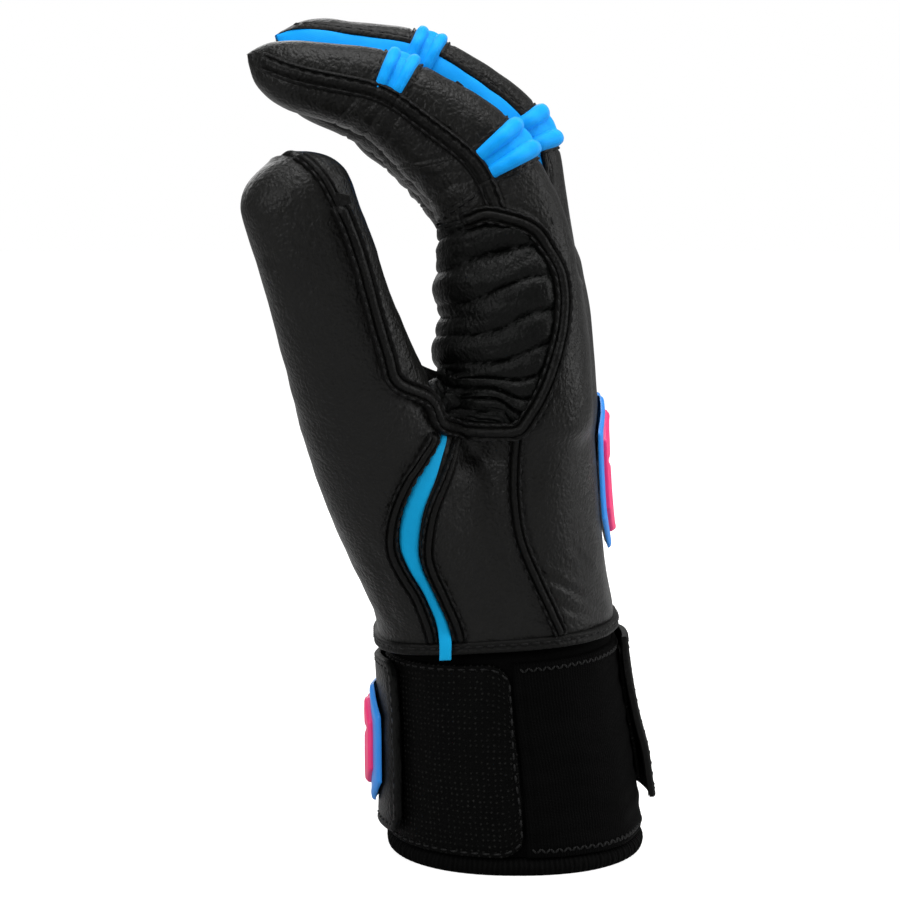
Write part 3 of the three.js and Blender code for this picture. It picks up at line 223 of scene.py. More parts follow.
PALM_SHARES = (
    (0, 1.48, 0.81, -0.135), (0.1, 1.465, 0.82, -0.13), (0.28, 1.25, 0.87, -0.07),
    (0.5, 0.968, 0.94, 0.009), (0.72, 0.865, 0.985, 0.032), (0.9, 0.81, 1, 0.004), (1, 0.75, 0.99, -0.037),
)
CUFF_SHARES = (
    (0, 0.995, 1.02, -0.008), (0.2, 0.975, 1.02, -0.014), (0.42, 0.95, 1.01, -0.028),
    (0.62, 0.915, 1, -0.05), (0.8, 0.9, 0.99, -0.066), (1, 0.9, 0.98, -0.076),
)
THUMB_SHARES = (
    (0, 15, 21, 0.98, 1.12), (0.2, 19, 24, 1.06, 1.3), (0.36, 20, 28, 1.12, 1.22),
    (0.52, 19, 27, 1.07, 1.08), (0.66, 17, 22, 0.94, 1), (0.78, 16, 14, 0.87, 0.96),
    (0.9, 19, 4, 0.84, 0.93), (1, 21, 0, 0.83, 0.9),
)


def upright(count: int, base: float, size: Triple, rows: Table, roundness: float, cap: float) -> Limb:
    """A tube that stands upright.

    Args:
        count: how many steps it has.
        base: the height of its foot.
        size: its height, depth and breadth.
        rows: rows of (share, depth, breadth, shift), the last three as shares of its size.
        roundness: the superellipse's power.
        cap: how far its rounded ends reach.

    Returns:
        The tube.
    """
    height, depth, breadth = size
    t = np.linspace(0, 1, count + 1)
    centre = np.stack([trend(rows, t, 3) * depth, 0 * t, base + t * height], -1)
    return Limb(centre, trend(rows, t, 1) * depth, trend(rows, t, 2) * breadth, roundness, cap)


def closing(run: Array, length: float, roundness: float) -> Array:
    """How a tip rounds off: sqrt(1 - u^2) over its last stretch."""
    return np.sqrt(np.maximum(0, 1 - (np.maximum(0, run - length + roundness) / roundness) ** 2))


@dataclass
class Finger:
    """One finger of the glove: where it lies, how it bends and how deep it is."""

    name: str
    lane: float
    root_shift: float
    lean: float
    turns: tuple[float, float, float, float]
    lengths: tuple[float, float, float, float]
    depths: tuple[float, float, float, float]
    breadth: float
    limb: Limb = field(init=False)

    def __post_init__(self) -> None:
        """Builds the finger's tube from its lengths, turns and depths."""
        to_bend, self.knuckle, to_joint, to_end = self.lengths
        root, at_knuckle, at_joint, pad = self.depths
        self.joint = self.knuckle + to_joint
        length = self.joint + to_end
        middles = (to_bend, self.knuckle, self.joint, self.joint + to_end * 2 / 3)
        reaches = (BEND_SPREAD, KNUCKLE_SPREAD, JOINT_SPREAD, JOINT_SPREAD)
        table = (
            (0, root),
            (self.knuckle * 0.6 / length, (root + at_knuckle * 2) / 3 + (root - at_knuckle) / 3),
            (self.knuckle / length, at_knuckle),
            ((self.knuckle + self.joint) / 2 / length, (at_knuckle * 2 + at_joint) / 3),
            (self.joint / length, at_joint),
            ((self.joint + to_end * 0.55) / length, pad),
            (1, pad * 0.86),
        )
        count = round(length)
        t = np.linspace(0, 1, count + 1)
        run = t * length
        angle = np.radians(self.lean + sum(
            turn * ease(run, middle - reach, middle + reach)
            for turn, middle, reach in zip(self.turns, middles, reaches)
        ))
        steps = np.stack([-np.sin(angle), 0 * angle, np.cos(angle)], -1)[:-1] * length / count
        start = np.array([self.root_shift, self.lane * LANE_PITCH, ROOT_HEIGHT])
        centre = start + np.concatenate([np.zeros((1, 3)), np.cumsum(steps, 0)])
        close = closing(run, length, TIP_ROUND)
        depth = np.maximum(trend(table, t) * close, TIP_EDGE)
        breadth = self.breadth * (1 - 0.16 * t) * np.maximum(close, 0.42)
        self.limb = Limb(centre, depth, breadth, 2.4, TIP_ROUND / 2)


def make_thumb() -> Limb:
    """The thumb's tube, which leans towards the palm and the thumb side."""
    t = np.linspace(0, 1, 93)
    lean, aside = np.radians(trend(THUMB_SHARES, t, 1)), np.radians(trend(THUMB_SHARES, t, 2))
    heading = unit(np.stack([-np.tan(lean), -np.tan(aside), 1 + 0 * t], -1))[:-1]
    start = np.array([*THUMB_ROOT, THUMB_BASE])
    centre = start + np.concatenate([np.zeros((1, 3)), np.cumsum(heading * THUMB_LENGTH / 92, 0)])
    close = closing(t * THUMB_LENGTH, THUMB_LENGTH, THUMB_ROUND)
    depth = np.maximum(trend(THUMB_SHARES, t, 3) * THUMB_DEPTH * close, TIP_EDGE * 2)
    breadth = np.maximum(trend(THUMB_SHARES, t, 4) * THUMB_BREADTH * close, TIP_EDGE)
    return Limb(centre, depth, breadth, 2.3, THUMB_ROUND / 2)


FINGERS = (
    Finger("index", -1.5, -2.0, 0, (20, 33, 26, -13), (36, 59, 27.5, 33), (32.6, 27, 20.6, 17.6), 20),
    Finger("middle", -0.5, 1.0, 2, (4, 46, 27, -10), (30, 63, 28, 34), (29.6, 26.4, 21, 17.6), 20),
    Finger("ring", 0.5, 0.5, 2, (20, 30, 20, -6), (32, 56, 27, 32), (30, 26, 21, 17.2), 20),
    Finger("little", 1.5, 0.0, 4, (12, 28, 14, -4), (24, 46, 20, 27), (26, 22.6, 18.6, 15.6), 18),
)
INDEX, LITTLE = FINGERS[0], FINGERS[3]
PALM = upright(46, PALM_BASE, (PALM_HEIGHT, PALM_DEPTH, PALM_BREADTH), PALM_SHARES, 2.5, PALM_CAP)
CUFF = upright(31, 0.0, (CUFF_HEIGHT, CUFF_DEPTH, CUFF_BREADTH), CUFF_SHARES, 2.2, CUFF_HEIGHT)
THUMB = make_thumb()
THUMB_START = float(THUMB.run_at(GUSSET_BOTTOM + SEAM_STEP * 3.5))


def hand(points: Array) -> Array:
    """About how far points lie outside the hand: a smooth union that rounds each valley by FILLET."""
    near = np.full(len(points), FILLET * 9)
    for tube in (PALM, *(finger.limb for finger in FINGERS), THUMB):
        far = tube.reach(points)
        overlap = np.maximum(FILLET - np.abs(near - far), 0) / FILLET
        near = np.minimum(near, far) - overlap * overlap * FILLET / 4
    return near


def steepest(points: Array, here: Array) -> Array:
    """How the hand's distance rises along X, Y and Z, from short steps."""
    return np.stack([(hand(points + axis * SLOPE) - here) / SLOPE for axis in np.eye(3)], -1)


def outward(points: Array) -> Array:
    """Which way the hand faces at points."""
    place = points.reshape(-1, 3)
    return unit(steepest(place, hand(place))).reshape(points.shape)


def settle(points: Array, rounds: int = 6) -> Array:
    """Moves points on to the hand along its steepest way: point - rise * distance / |rise|^2."""
    place = points.reshape(-1, 3).copy()
    for _ in range(rounds):
        here = hand(place)
        rise = steepest(place, here)
        place -= rise * (here / np.maximum((rise**2).sum(1), 0.04))[:, None]
    return place.reshape(points.shape)


def cast(origins: Array, directions: Array) -> Array:
    """Where rays from inside first leave the hand: even steps, then halving."""
    origins, directions = np.broadcast_arrays(origins, directions)
    start, heading = origins.reshape(-1, 3), unit(directions.reshape(-1, 3))
    far = np.full(len(start), MARCH)
    going = np.arange(len(start))
    while len(going):
        inside = hand(start[going] + heading[going] * far[going, None]) < 0
        going = going[inside & (far[going] < PALM_BREADTH)]
        far[going] += MARCH
    low, high = far - MARCH, far
    for _ in range(12):
        middle = (low + high) / 2
        inside = hand(start + heading * middle[:, None]) < 0
        low, high = np.where(inside, middle, low), np.where(inside, high, middle)
    return (start + heading * ((low + high) / 2)[:, None]).reshape(origins.shape)


def lean(points: Array) -> Array:
    """Raises points near the hem by a share that grows towards the back of the hand and fades upwards."""
    share = (points[..., 0] + HEM_REACH / 2) / HEM_REACH
    fade = 1 - ease(points[..., 2], HEM_BASE, HEM_BASE + HEM_REACH)
    moved = points.copy()
    moved[..., 2] += HEM_RISE * share * fade
    return moved


def axis_at(limb: Limb, height: Array, base: float | None = None) -> Array:
    """The centre of a tube at heights; with a base, the run is the height above it."""
    height = np.asarray(height, float)
    centre = limb.read("centre", limb.run_at(height) if base is None else height - base)
    centre[..., 2] = height
    return centre


# The centres of the palm, the thumb and the index finger, by height
palm_axis = partial(axis_at, PALM, base=PALM_BASE)
thumb_axis = partial(axis_at, THUMB)
index_axis = partial(axis_at, INDEX.limb, base=ROOT_HEIGHT)
LANE_EDGES = np.append(np.arange(-2, 2) * LANE_PITCH, PALM_BREADTH / 2)
SEAM_GAP = 0.4
SIDE_START, SIDE_REACH = -19.0, 40.0
SIDE_SHARES = {
    "insert_front": (
        (0, 0), (0.1, -0.02), (0.27, -0.1), (0.42, -0.205), (0.52, -0.245), (0.66, -0.222), (0.8, -0.145),
        (0.93, -0.035), (1, 0.01),
    ),
    "insert_back": (
        (0, 0.065), (0.1, 0.05), (0.27, -0.04), (0.42, -0.12), (0.52, -0.13), (0.66, -0.1), (0.8, -0.03),
        (0.93, 0.02), (1, 0.035),
    ),
    "back_front": ((0, 0.73), (0.1, 0.68), (0.3, 0.57), (0.5, 0.47), (0.7, 0.43), (0.85, 0.43), (1, 0.44)),
    "thumb_seam": (
        (1, 0.01), (1.07, -0.04), (1.155, -0.09), (1.25, -0.2), (1.38, -0.32), (1.55, -0.41), (1.72, -0.47),
        (1.95, -0.54),
    ),
}
GUSSET_TURNS = (
    (0.68, -88), (0.704, -80), (0.735, -72), (0.773, -65), (0.822, -58), (0.878, -54), (0.935, -57),
    (0.972, -67), (1, -90),
)
FOLD_TURN = -190.0
THENAR_SHARES = (
    (0.33, -0.06), (0.465, -0.036), (0.56, -0.095), (0.65, -0.2), (0.735, -0.3), (0.77, -0.335), (1, -0.34),
)
COLUMNS = 8


def side_spot(x: Real, height: Real) -> Array:
    """Places on the thumb side by X and height: there a ray towards the thumb side leaves the hand."""
    x, height = np.broadcast_arrays(np.asarray(x, float), np.asarray(height, float))
    start, end = thumb_axis(height), palm_axis(height)
    end[..., 1] = LANE_EDGES[1] * 1.2
    share = np.clip((x - start[..., 0]) / (end[..., 0] - start[..., 0]), 0, 1)
    inside = start + (end - start) * share[..., None]
    inside[..., 0] = x
    return cast(inside, np.array([0.0, -1.0, 0.0]))


def side_x(line: str, height: Real) -> Array:
    """How far along X a line of sewing on the thumb side lies."""
    share = (height - HEM_BASE) / (GUSSET_BOTTOM - HEM_BASE)
    return SIDE_START + SIDE_REACH * trend(SIDE_SHARES[line], share)


def side_point(line: str, height: Real, aside: float = 0.0) -> Array:
    """Places along a line of sewing on the thumb side."""
    return side_spot(side_x(line, height) + aside, height)


def seam_spot(steps: float) -> Array:
    """A place on the thumb's seam, some steps above the gusset's foot."""
    return side_point("thumb_seam", GUSSET_BOTTOM + SEAM_STEP * steps)


def insert_top(share: float) -> Array:
    """A place at the gusset's foot, some share of the way from the insert to the back."""
    return side_point("insert_back", GUSSET_BOTTOM, share * SEAM_STEP * 4)


Axis = Callable[[Array], Array]


def fan(axis: Axis, first: Array, last: Array, columns: int, falling: bool) -> tuple[Array, Array, Array]:
    """Rows round an upright axis, each from one point to another.

    Args:
        axis: the axis's place by height.
        first: where each row starts.
        last: where each row ends.
        columns: how many steps a row has.
        falling: whether the turns go down past the palm side.

    Returns:
        Places on the axis, the ways out from them, and the distances.
    """
    offsets = first - axis(first[:, 2]), last - axis(last[:, 2])
    start, end = (np.arctan2(offset[:, 1], offset[:, 0]) for offset in offsets)
    if falling:
        end = np.where(end > start, end - 2 * np.pi, end)
    radii = tuple(np.hypot(offset[:, 0], offset[:, 1]) for offset in offsets)
    share = np.linspace(0, 1, columns + 1)
    ends = (start, end), radii, (first[:, 2], last[:, 2])
    turn, radius, height = (low[:, None] + (high - low)[:, None] * share for low, high in ends)
    return axis(height), np.stack([np.cos(turn), np.sin(turn), 0 * turn], -1), radius


def cast_rows(axis: Axis, first: Array, last: Array, columns: int, falling: bool = False) -> Array:
    """A grid of rows cast on to the hand round an upright axis."""
    grid = cast(*fan(axis, first, last, columns, falling)[:2])
    grid[:, 0], grid[:, -1] = first, last
    return grid


def settle_rows(axis: Axis, first: Array, last: Array, columns: int) -> Array:
    """A grid of rows settled on the hand round an upright axis."""
    centre, way, radius = fan(axis, first, last, columns, True)
    grid = settle(centre + way * radius[..., None])
    grid[:, 0], grid[:, -1] = first, last
    return grid


def gusset_turn(height: Real) -> Array:
    """The gusset's long edge on the back of the index finger's root, as turns by height."""
    return trend(GUSSET_TURNS, height / GUSSET_TOP)


def index_spot(height: Real, turn: Real) -> Array:
    """Places on the hand near the index finger's root, by height and turn."""
    height, turn = np.broadcast_arrays(np.asarray(height, float), np.asarray(turn, float))
    spots = INDEX.limb.point(np.maximum(height - ROOT_HEIGHT, 0), turn)
    spots[..., 2] = height
    return settle(spots)


def edge_turn(finger: Finger, run: Real) -> Array:
    """How far the leather of a finger reaches round towards its fourchettes."""
    fade = ease(run + ROOT_HEIGHT, CROTCH_HEIGHT, CROTCH_HEIGHT + finger.knuckle / 3)
    return 78 + (STRIP_TURN - 78) * fade


def leather_turn(finger: Finger, run: Real, to_back: bool, share: Real) -> Array:
    """The turns of a finger's leather.

    Args:
        finger: the finger.
        run: the run along it.
        to_back: whether the back leather is meant.
        share: from 0 at its thumb-side edge to 1 at its little-finger-side edge.

    Returns:
        Turns, which go down past -180 on the palm side.
    """
    edge = edge_turn(finger, run)
    near = 90 + 0 * edge if finger is INDEX else edge
    far = 90 + 0 * edge if finger is LITTLE else edge
    turn = -near + (near + far) * share
    return turn if to_back else -180 - turn


def thenar_across(height: Real) -> Array:
    """Where the palm leather meets the thumb leather, as a distance across the palm."""
    return trend(THENAR_SHARES, height / GUSSET_TOP) * PALM_BREADTH


def thenar_point(height: Array) -> Array:
    """Places on the seam between palm leather and thumb leather."""
    origin = palm_axis(np.minimum(height, MORPH_START))
    origin[..., 1] = thenar_across(height)
    low = cast(origin, np.array([-1.0, 0.0, 0.0]))
    return np.where((height > MORPH_START)[..., None], index_spot(height, FOLD_TURN), low)


def body_spot(k: int, height: Array, share: Array, to_back: bool) -> Array:
    """Places on the palm or back leather below the crotches.

    Args:
        k: the finger's lane, 0 for the index finger.
        height: heights above the cuff's foot.
        share: shares of the way across the lane.
        to_back: whether the back of the hand is meant.

    Returns:
        Points on the hand.
    """
    height, share = np.broadcast_arrays(np.asarray(height, float), np.asarray(share, float))
    start = LANE_EDGES[0] + 0 * height if to_back else thenar_across(height)
    follow = 1.0 if to_back else ease(height, HEM_BASE + PALM_DEPTH, MORPH_START)
    edges = [start]
    for n in range(1, 5):
        even = start + (LANE_EDGES[4] - start) * n / 4
        edges.append(even + (LANE_EDGES[n] - even) * follow)
    reached = np.sin(share * np.pi / 2) if k == 3 else share
    across = edges[k] + (edges[k + 1] - edges[k]) * reached
    run = height - PALM_BASE
    scale = PALM.read("breadth", run) / PALM_BREADTH
    across = np.minimum(across * np.where(across > 0, scale, 1), LANE_EDGES[4] * scale)
    centre = PALM.read("centre", run)
    wide = np.clip(np.abs(across) / (PALM.read("breadth", run) / 2), 0, 1)
    depth = PALM.read("depth", run) / 2 * (1 - wide**PALM.roundness) ** (1 / PALM.roundness)
    depth = np.maximum(depth, SEAM_GAP)
    flat = np.stack([centre[..., 0] + (depth if to_back else -depth), across, height], -1)

    def turned(n: int, at: Array) -> Array:
        """Places on a finger's own tube at the same heights."""
        finger_run = height - ROOT_HEIGHT
        return FINGERS[n].limb.point(finger_run, leather_turn(FINGERS[n], finger_run, to_back, at))

    raised = turned(k, share)
    if k < 3:
        shared = (raised + turned(k + 1, 0 * share)) / 2
        raised = np.where((share == 1)[..., None], shared, raised)
    if k > 0:
        shared = (raised + turned(k - 1, 0 * share + 1)) / 2
        raised = np.where((share == 0)[..., None], shared, raised)
    return settle(flat + (raised - flat) * ease(height, MORPH_START, CROTCH_HEIGHT)[..., None])


def edge_run(limb: Limb, run: float, turn: Array, distance: Array) -> Array:
    """Where the wall, at turns, stands some way past the plane of a joint, found by halving."""
    centre, along = limb.read("centre", run), limb.read("along", run)
    turn, distance = np.broadcast_arrays(np.asarray(turn, float), np.asarray(distance, float))
    low = np.full(turn.shape, run - 20.0)
    high = np.full(turn.shape, min(run + 20.0, limb.length))
    for _ in range(24):
        middle = (low + high) / 2
        short = ((limb.point(middle, turn) - centre) @ along) < distance
        low, high = np.where(short, middle, low), np.where(short, high, middle)
    return (low + high) / 2


JOINT_ROOMS = {"knuckle": (3.0, 4.6, 3.0, 9.8), "joint": (2.6, 3.0, 2.6, 6.2)}


def joint_edge(finger: Finger, joint: str, turn: Array, above: bool) -> Array:
    """The leather's cut edge beside a joint.

    Args:
        finger: the finger.
        joint: knuckle or joint.
        turn: turns round the finger.
        above: whether the edge on the tip's side is meant.

    Returns:
        The edge's run at those turns.
    """
    side, flex, below, past = JOINT_ROOMS[joint]
    back, front = np.maximum(0, np.cos(np.radians(turn))), np.maximum(0, -np.cos(np.radians(turn)))
    room = side + (flex - side) * back
    distance = room + (past - side) * front if above else -(room + (below - side) * front)
    return edge_run(finger.limb, getattr(finger, joint), turn, distance)


def gusset_top_run(turn: Array) -> Array:
    """The lower edge of the index finger's leather over the gusset."""
    nearness = (turn - FOLD_TURN) / (-90 - FOLD_TURN)
    return joint_edge(INDEX, "knuckle", turn, False) - (GUSSET_TOP_BAND + GUSSET_TOP_RISE * nearness)


EDGE_STEPS = np.array([0, 0.18, 0.4, 0.7, 1.05, 1.45, 1.9, 2.4, 2.95, 3.6])
WEAVE_SCALE = 0.01


def shares(length: float, step: float = 0.8, first: bool = True, last: bool = True) -> Array:
    """Shares of the way from 0 to 1, closer together near a finished edge.

    Args:
        length: how long the way is.
        step: how far apart the points are.
        first: whether the start is a finished edge.
        last: whether the end is one.

    Returns:
        The shares, in order.
    """
    if length < 9:
        return np.linspace(0, 1, max(3, round(length / min(step, 0.45))) + 1)
    low = EDGE_STEPS / length if first else np.zeros(1)
    high = 1 - EDGE_STEPS[::-1] / length if last else np.ones(1)
    room = (high[0] - low[-1]) * length
    middle = np.linspace(low[-1], high[0], max(2, round(room / step)) + 1)
    return np.concatenate([low[:-1], middle, high[1:]])


def places(grid: Array, axis: int, step: float = 0.8) -> Array:
    """Where the fine lines go along one way of a coarse grid, in counts of knots, by mean distance."""
    gaps = np.linalg.norm(np.diff(grid, axis=axis), axis=-1).mean(axis=1 - axis)
    along = np.concatenate([[0], np.cumsum(gaps)])
    return np.interp(shares(along[-1], step) * along[-1], along, np.arange(len(along)))


def fine_line(line: Array, step: float) -> Array:
    """A finer line through the same points."""
    return resample(line, places(line[:, None], 0, step))


def refine(
    grid: Array, step: float = 0.8, rows: Array | None = None, columns: Array | None = None,
) -> Array:
    """A finer grid through the same points, smooth along both ways."""
    rows = places(grid, 0, step) if rows is None else rows
    columns = places(grid, 1, step) if columns is None else columns
    return resample(resample(grid, rows).swapaxes(0, 1), columns).swapaxes(0, 1)


def grid_facing(points: Array) -> Array:
    """The way a grid faces: the cross product of its two differences."""
    return unit(np.cross(np.gradient(points, axis=1), np.gradient(points, axis=0)))


def grid_weave(points: Array) -> Array:
    """Pattern coordinates of a grid: how far each point lies along its row and along its column."""
    across = np.linalg.norm(np.diff(points, axis=1), axis=-1)
    down = np.linalg.norm(np.diff(points, axis=0), axis=-1)
    u = np.concatenate([np.zeros((len(points), 1)), np.cumsum(across, 1)], 1)
    v = np.concatenate([np.zeros((1, points.shape[1])), np.cumsum(down, 0)], 0)
    return np.stack([u - u[:, -1:] / 2, np.broadcast_to(v.mean(1, keepdims=True), u.shape)], -1)


def gap_to(points: Array, samples: Array) -> Array:
    """The distance from each point to the nearest sample, worked out in blocks."""
    size = max(1, 4_000_000 // max(1, len(samples)))
    squares = (samples**2).sum(1)
    blocks = [
        ((block**2).sum(1)[:, None] - 2 * block @ samples.T + squares).min(1)
        for block in np.array_split(points, math.ceil(len(points) / size))
    ]
    return np.sqrt(np.maximum(np.concatenate(blocks), 0))


@dataclass(frozen=True)
class EdgeFinish:
    """How a free edge is finished: it rolls down, puffs up behind that, and sinks along its stitches."""

    roll: float = 1.0
    drop: float = 0.7
    puff: float = 0.1
    groove: float = 0.0
    sink: float = 0.22

    def lift(self, distance: Array) -> Array:
        """-drop * (1 - sqrt(1 - (1 - d / roll)^2)), plus the puff's bell, less the groove's bell."""
        near = np.clip(1 - distance / self.roll, 0, 1)
        lift = -self.drop * (1 - np.sqrt(1 - near**2))
        lift += self.puff * np.exp(-(((distance - 1.5 * self.roll) / 0.6) ** 2))
        if self.groove:
            lift -= self.sink * np.exp(-(((distance - self.groove) / 0.42) ** 2))
        return lift


TURNED = EdgeFinish()
STITCHED = EdgeFinish(groove=1.9, sink=0.42, puff=0.2)
CUT = EdgeFinish(roll=0.35, drop=0.25, puff=0.0)
BUTTED = EdgeFinish(roll=0.8, drop=0.5, puff=0.0)


def cap_facing(points: Array, facing: Array, limb: Limb) -> Array:
    """Near a tube's tip a grid faces away from the middle of its rounding, a little more along the tube."""
    reach = limb.cap * 2
    middle = limb.read("centre", limb.length - reach)
    along = limb.along[-1]
    share = ease(((points - middle) @ along) / reach, 0.6, 0.93)[..., None]
    return unit(facing * (1 - share) + unit(points - middle) * share)


@dataclass
class Grid:
    """One grid of a sheet."""

    points: Array
    lift: Array
    weave: Array
    facing: Array
    turned: bool
    finished: Array
    outer: Array | None = None


@dataclass
class Sheet:
    """Grids of surface points, welded where they meet, that become one closed wall.

    Attributes:
        wall: how thick the sheet is.
        edge: how its free edges are finished.
    """

    wall: float = LEATHER_WALL
    edge: EdgeFinish = TURNED
    grids: list[Grid] = field(default_factory=list)

    def add(
        self, points: Array, lift: Real = 0.0, inside: Array | None = None, cap: Limb | None = None,
        finished: Real = 1.0,
    ) -> "Sheet":
        """Adds a grid.

        Args:
            points: rows and columns of points.
            lift: how far each point is raised.
            inside: a place that the grid faces away from; without one, the hand's own shape tells.
            cap: a tube whose rounded tip the grid ends at.
            finished: the share of the edge finish that each point gets.

        Returns:
            The sheet.
        """
        facing = grid_facing(points)
        rows, columns = (np.linspace(1, n - 2, min(n - 2, 7)).astype(int) for n in points.shape[:2])
        few = points[np.ix_(rows, columns)]
        away = outward(few) if inside is None else few - inside
        turned = float((facing[np.ix_(rows, columns)] * away).sum()) < 0
        facing = -facing if turned else facing
        if cap is not None:
            facing = cap_facing(points, facing, cap)
        lift, finished = (np.broadcast_to(value, points.shape[:2]).copy() for value in (lift, finished))
        self.grids.append(Grid(points, lift, grid_weave(points), facing, turned, finished))
        return self

    def build(self) -> "Wall":
        """Welds the grids, finishes the free edges and closes the wall."""
        ids, quads, start = [], [], 0
        for grid in self.grids:
            rows, columns = grid.points.shape[:2]
            own = np.arange(rows * columns).reshape(rows, columns) + start
            four = np.stack([own[:-1, :-1], own[:-1, 1:], own[1:, 1:], own[1:, :-1]], -1).reshape(-1, 4)
            quads.append(four[:, ::-1] if grid.turned else four)
            ids.append(own)
            start += own.size
        flat = {
            key: np.concatenate([
                getattr(grid, key).reshape(own.size, -1) for grid, own in zip(self.grids, ids)
            ])
            for key in ("points", "facing", "lift", "weave", "finished")
        }
        keys = np.round(flat["points"], 4) + 0.0
        _, first, inverse = np.unique(keys, axis=0, return_index=True, return_inverse=True)
        inverse = inverse.reshape(-1)
        count = len(first)
        facing, lift = np.zeros((count, 3)), np.zeros((count, 1))
        np.add.at(facing, inverse, flat["facing"])
        np.add.at(lift, inverse, flat["lift"])
        facing, lift = unit(facing), lift[:, 0] / np.bincount(inverse, minlength=count)
        base = flat["points"][first]
        faces = inverse[np.concatenate(quads)]
        free = free_edges(faces)
        steps = np.linspace(0, 1, 4, endpoint=False)[:, None, None]
        samples = (base[free[:, 0]] * (1 - steps) + base[free[:, 1]] * steps).reshape(-1, 3)
        distance = gap_to(base, samples)
        share = flat["finished"][first, 0]
        outer = base + facing * (lift + share * self.edge.lift(distance))[:, None]
        inner = base + facing * (lift - self.wall)[:, None]
        for grid, own in zip(self.grids, ids):
            grid.outer = outer[inverse[own]]
            grid.facing = facing[inverse[own]]
        rim = np.stack([free[:, 1], free[:, 0], free[:, 0] + count, free[:, 1] + count], -1)
        every = np.concatenate([faces, faces[:, ::-1] + count, rim])
        weave = flat["weave"][first]
        both = np.concatenate([outer, inner]), every, np.concatenate([weave, weave])
        return Wall(*both, np.tile(distance, 2))


@dataclass
class Wall:
    """A closed mesh before it is put into Blender."""

    vertices: Array
    faces: Array
    weave: Array | None = None
    rim: Array | None = None


def free_edges(faces: Array) -> Array:
    """The edges that only one face has, in that face's own direction."""
    edges = np.concatenate([faces[:, [k, (k + 1) % 4]] for k in range(4)])
    edges = edges[edges[:, 0] != edges[:, 1]]
    size = int(faces.max()) + 1
    there, back = edges[:, 0] * size + edges[:, 1], edges[:, 1] * size + edges[:, 0]
    return edges[~np.isin(there, back)]


def whole_faces(faces: Array) -> tuple[Array, Array]:
    """Splits faces of four into real ones and those that have only three corners."""
    same = np.stack([faces[:, k] == faces[:, (k + 1) % 4] for k in range(4)], -1)
    once = same.sum(1) == 1
    three = [faces[same[:, k] & once][:, [(k + 1) % 4, (k + 2) % 4, (k + 3) % 4]] for k in range(4)]
    return faces[~same.any(1)], np.concatenate(three)


def inset(grid: Grid, side: str, distance: float, trim: Trim = (0, 0)) -> tuple[Array, Array]:
    """A line on a built grid, some way in from one of its sides.

    Args:
        grid: a grid whose sheet is built.
        side: first or last for a side at the first or last column, low or high for the first or last row.
        distance: how far in.
        trim: how much is left out at the two ends.

    Returns:
        The line's points and the way the surface faces there.
    """
    views = {
        "first": lambda a: a, "last": lambda a: a[:, ::-1],
        "low": lambda a: a.swapaxes(0, 1), "high": lambda a: a[::-1].swapaxes(0, 1),
    }
    points, facing = views[side](grid.outer), views[side](grid.facing)
    gaps = np.linalg.norm(np.diff(points, axis=1), axis=-1)
    along = np.concatenate([np.zeros((len(points), 1)), np.cumsum(gaps, 1)], 1)
    k = np.clip((along < distance).sum(1), 1, points.shape[1] - 1)
    rows = np.arange(len(points))
    low, high = along[rows, k - 1], along[rows, k]
    t = ((distance - low) / np.maximum(high - low, 1e-9))[:, None]
    line = points[rows, k - 1] * (1 - t) + points[rows, k] * t
    face = unit(facing[rows, k - 1] * (1 - t) + facing[rows, k] * t)
    run = run_along(line)
    keep = (run >= trim[0]) & (run <= run[-1] - trim[1])
    return line[keep], face[keep]


@dataclass
class Thread:
    """Rows of stitches, each a small rounded bar whose ends dip into the leather.

    Attributes:
        length: how long a stitch is.
        gap: how far apart two stitches are.
        radius: half the thread's thickness.
    """

    length: float = 2.0
    gap: float = 0.7
    radius: float = 0.31
    rows: list[Array] = field(default_factory=list)

    RINGS = (
        (-0.5, 0.3, -0.9), (-0.38, 0.85, -0.35), (0.0, 1.0, 0.3), (0.38, 0.85, -0.35), (0.5, 0.3, -0.9),
    )
    SIDES = 6

    def sew(self, line: Array, facing: Array) -> None:
        """Adds even stitches along a line."""
        run = run_along(line)
        pitch = self.length + self.gap
        count = int((run[-1] + self.gap) // pitch)
        if count < 1:
            return
        pitch = (run[-1] + self.gap) / count
        start = np.arange(count) * pitch
        ends = (glide(at, run, line) for at in (start, start + pitch - self.gap))
        self.bars(*ends, unit(glide(start + pitch / 2, run, facing)))

    def bars(self, start: Array, end: Array, face: Array) -> None:
        """Adds stitches: ring point = centre + side * r cos + face * (r sin + arch).

        Args:
            start: where each begins.
            end: where each ends.
            face: the way the leather faces there.
        """
        ring = np.array(self.RINGS)
        way = end - start
        centre = start[:, None] + way[:, None] * (ring[:, 0] + 0.5)[None, :, None]
        side = unit(np.cross(way, face))[:, None]
        turn = np.linspace(0, 2 * np.pi, self.SIDES, endpoint=False)
        wide = (ring[:, 1] * self.radius)[None, :, None, None] * np.cos(turn)[:, None] * side[:, :, None]
        tall = (ring[:, 1, None] * np.sin(turn) + ring[:, 2, None]) * self.radius
        self.rows.append(centre[:, :, None] + wide + tall[None, ..., None] * face[:, None, None])

    def build(self) -> Wall:
        """Closes every stitch with a face at each end."""
        stitches = np.concatenate(self.rows)
        rings, sides = len(self.RINGS), self.SIDES
        own = np.arange(rings * sides).reshape(rings, sides)
        after = np.roll(own, -1, axis=1)
        tube = np.stack([own[:-1], after[:-1], after[1:], own[1:]], -1).reshape(-1, 4)
        caps = []
        for ends in (own[0][::-1], own[-1]):
            caps += [[ends[0], ends[1], ends[2], ends[3]], [ends[0], ends[3], ends[4], ends[5]]]
        faces = np.concatenate([tube, np.array(caps)])[:, ::-1]
        starts = np.arange(len(stitches))[:, None, None] * own.size
        return Wall(stitches.reshape(-1, 3), (faces[None] + starts).reshape(-1, 4))


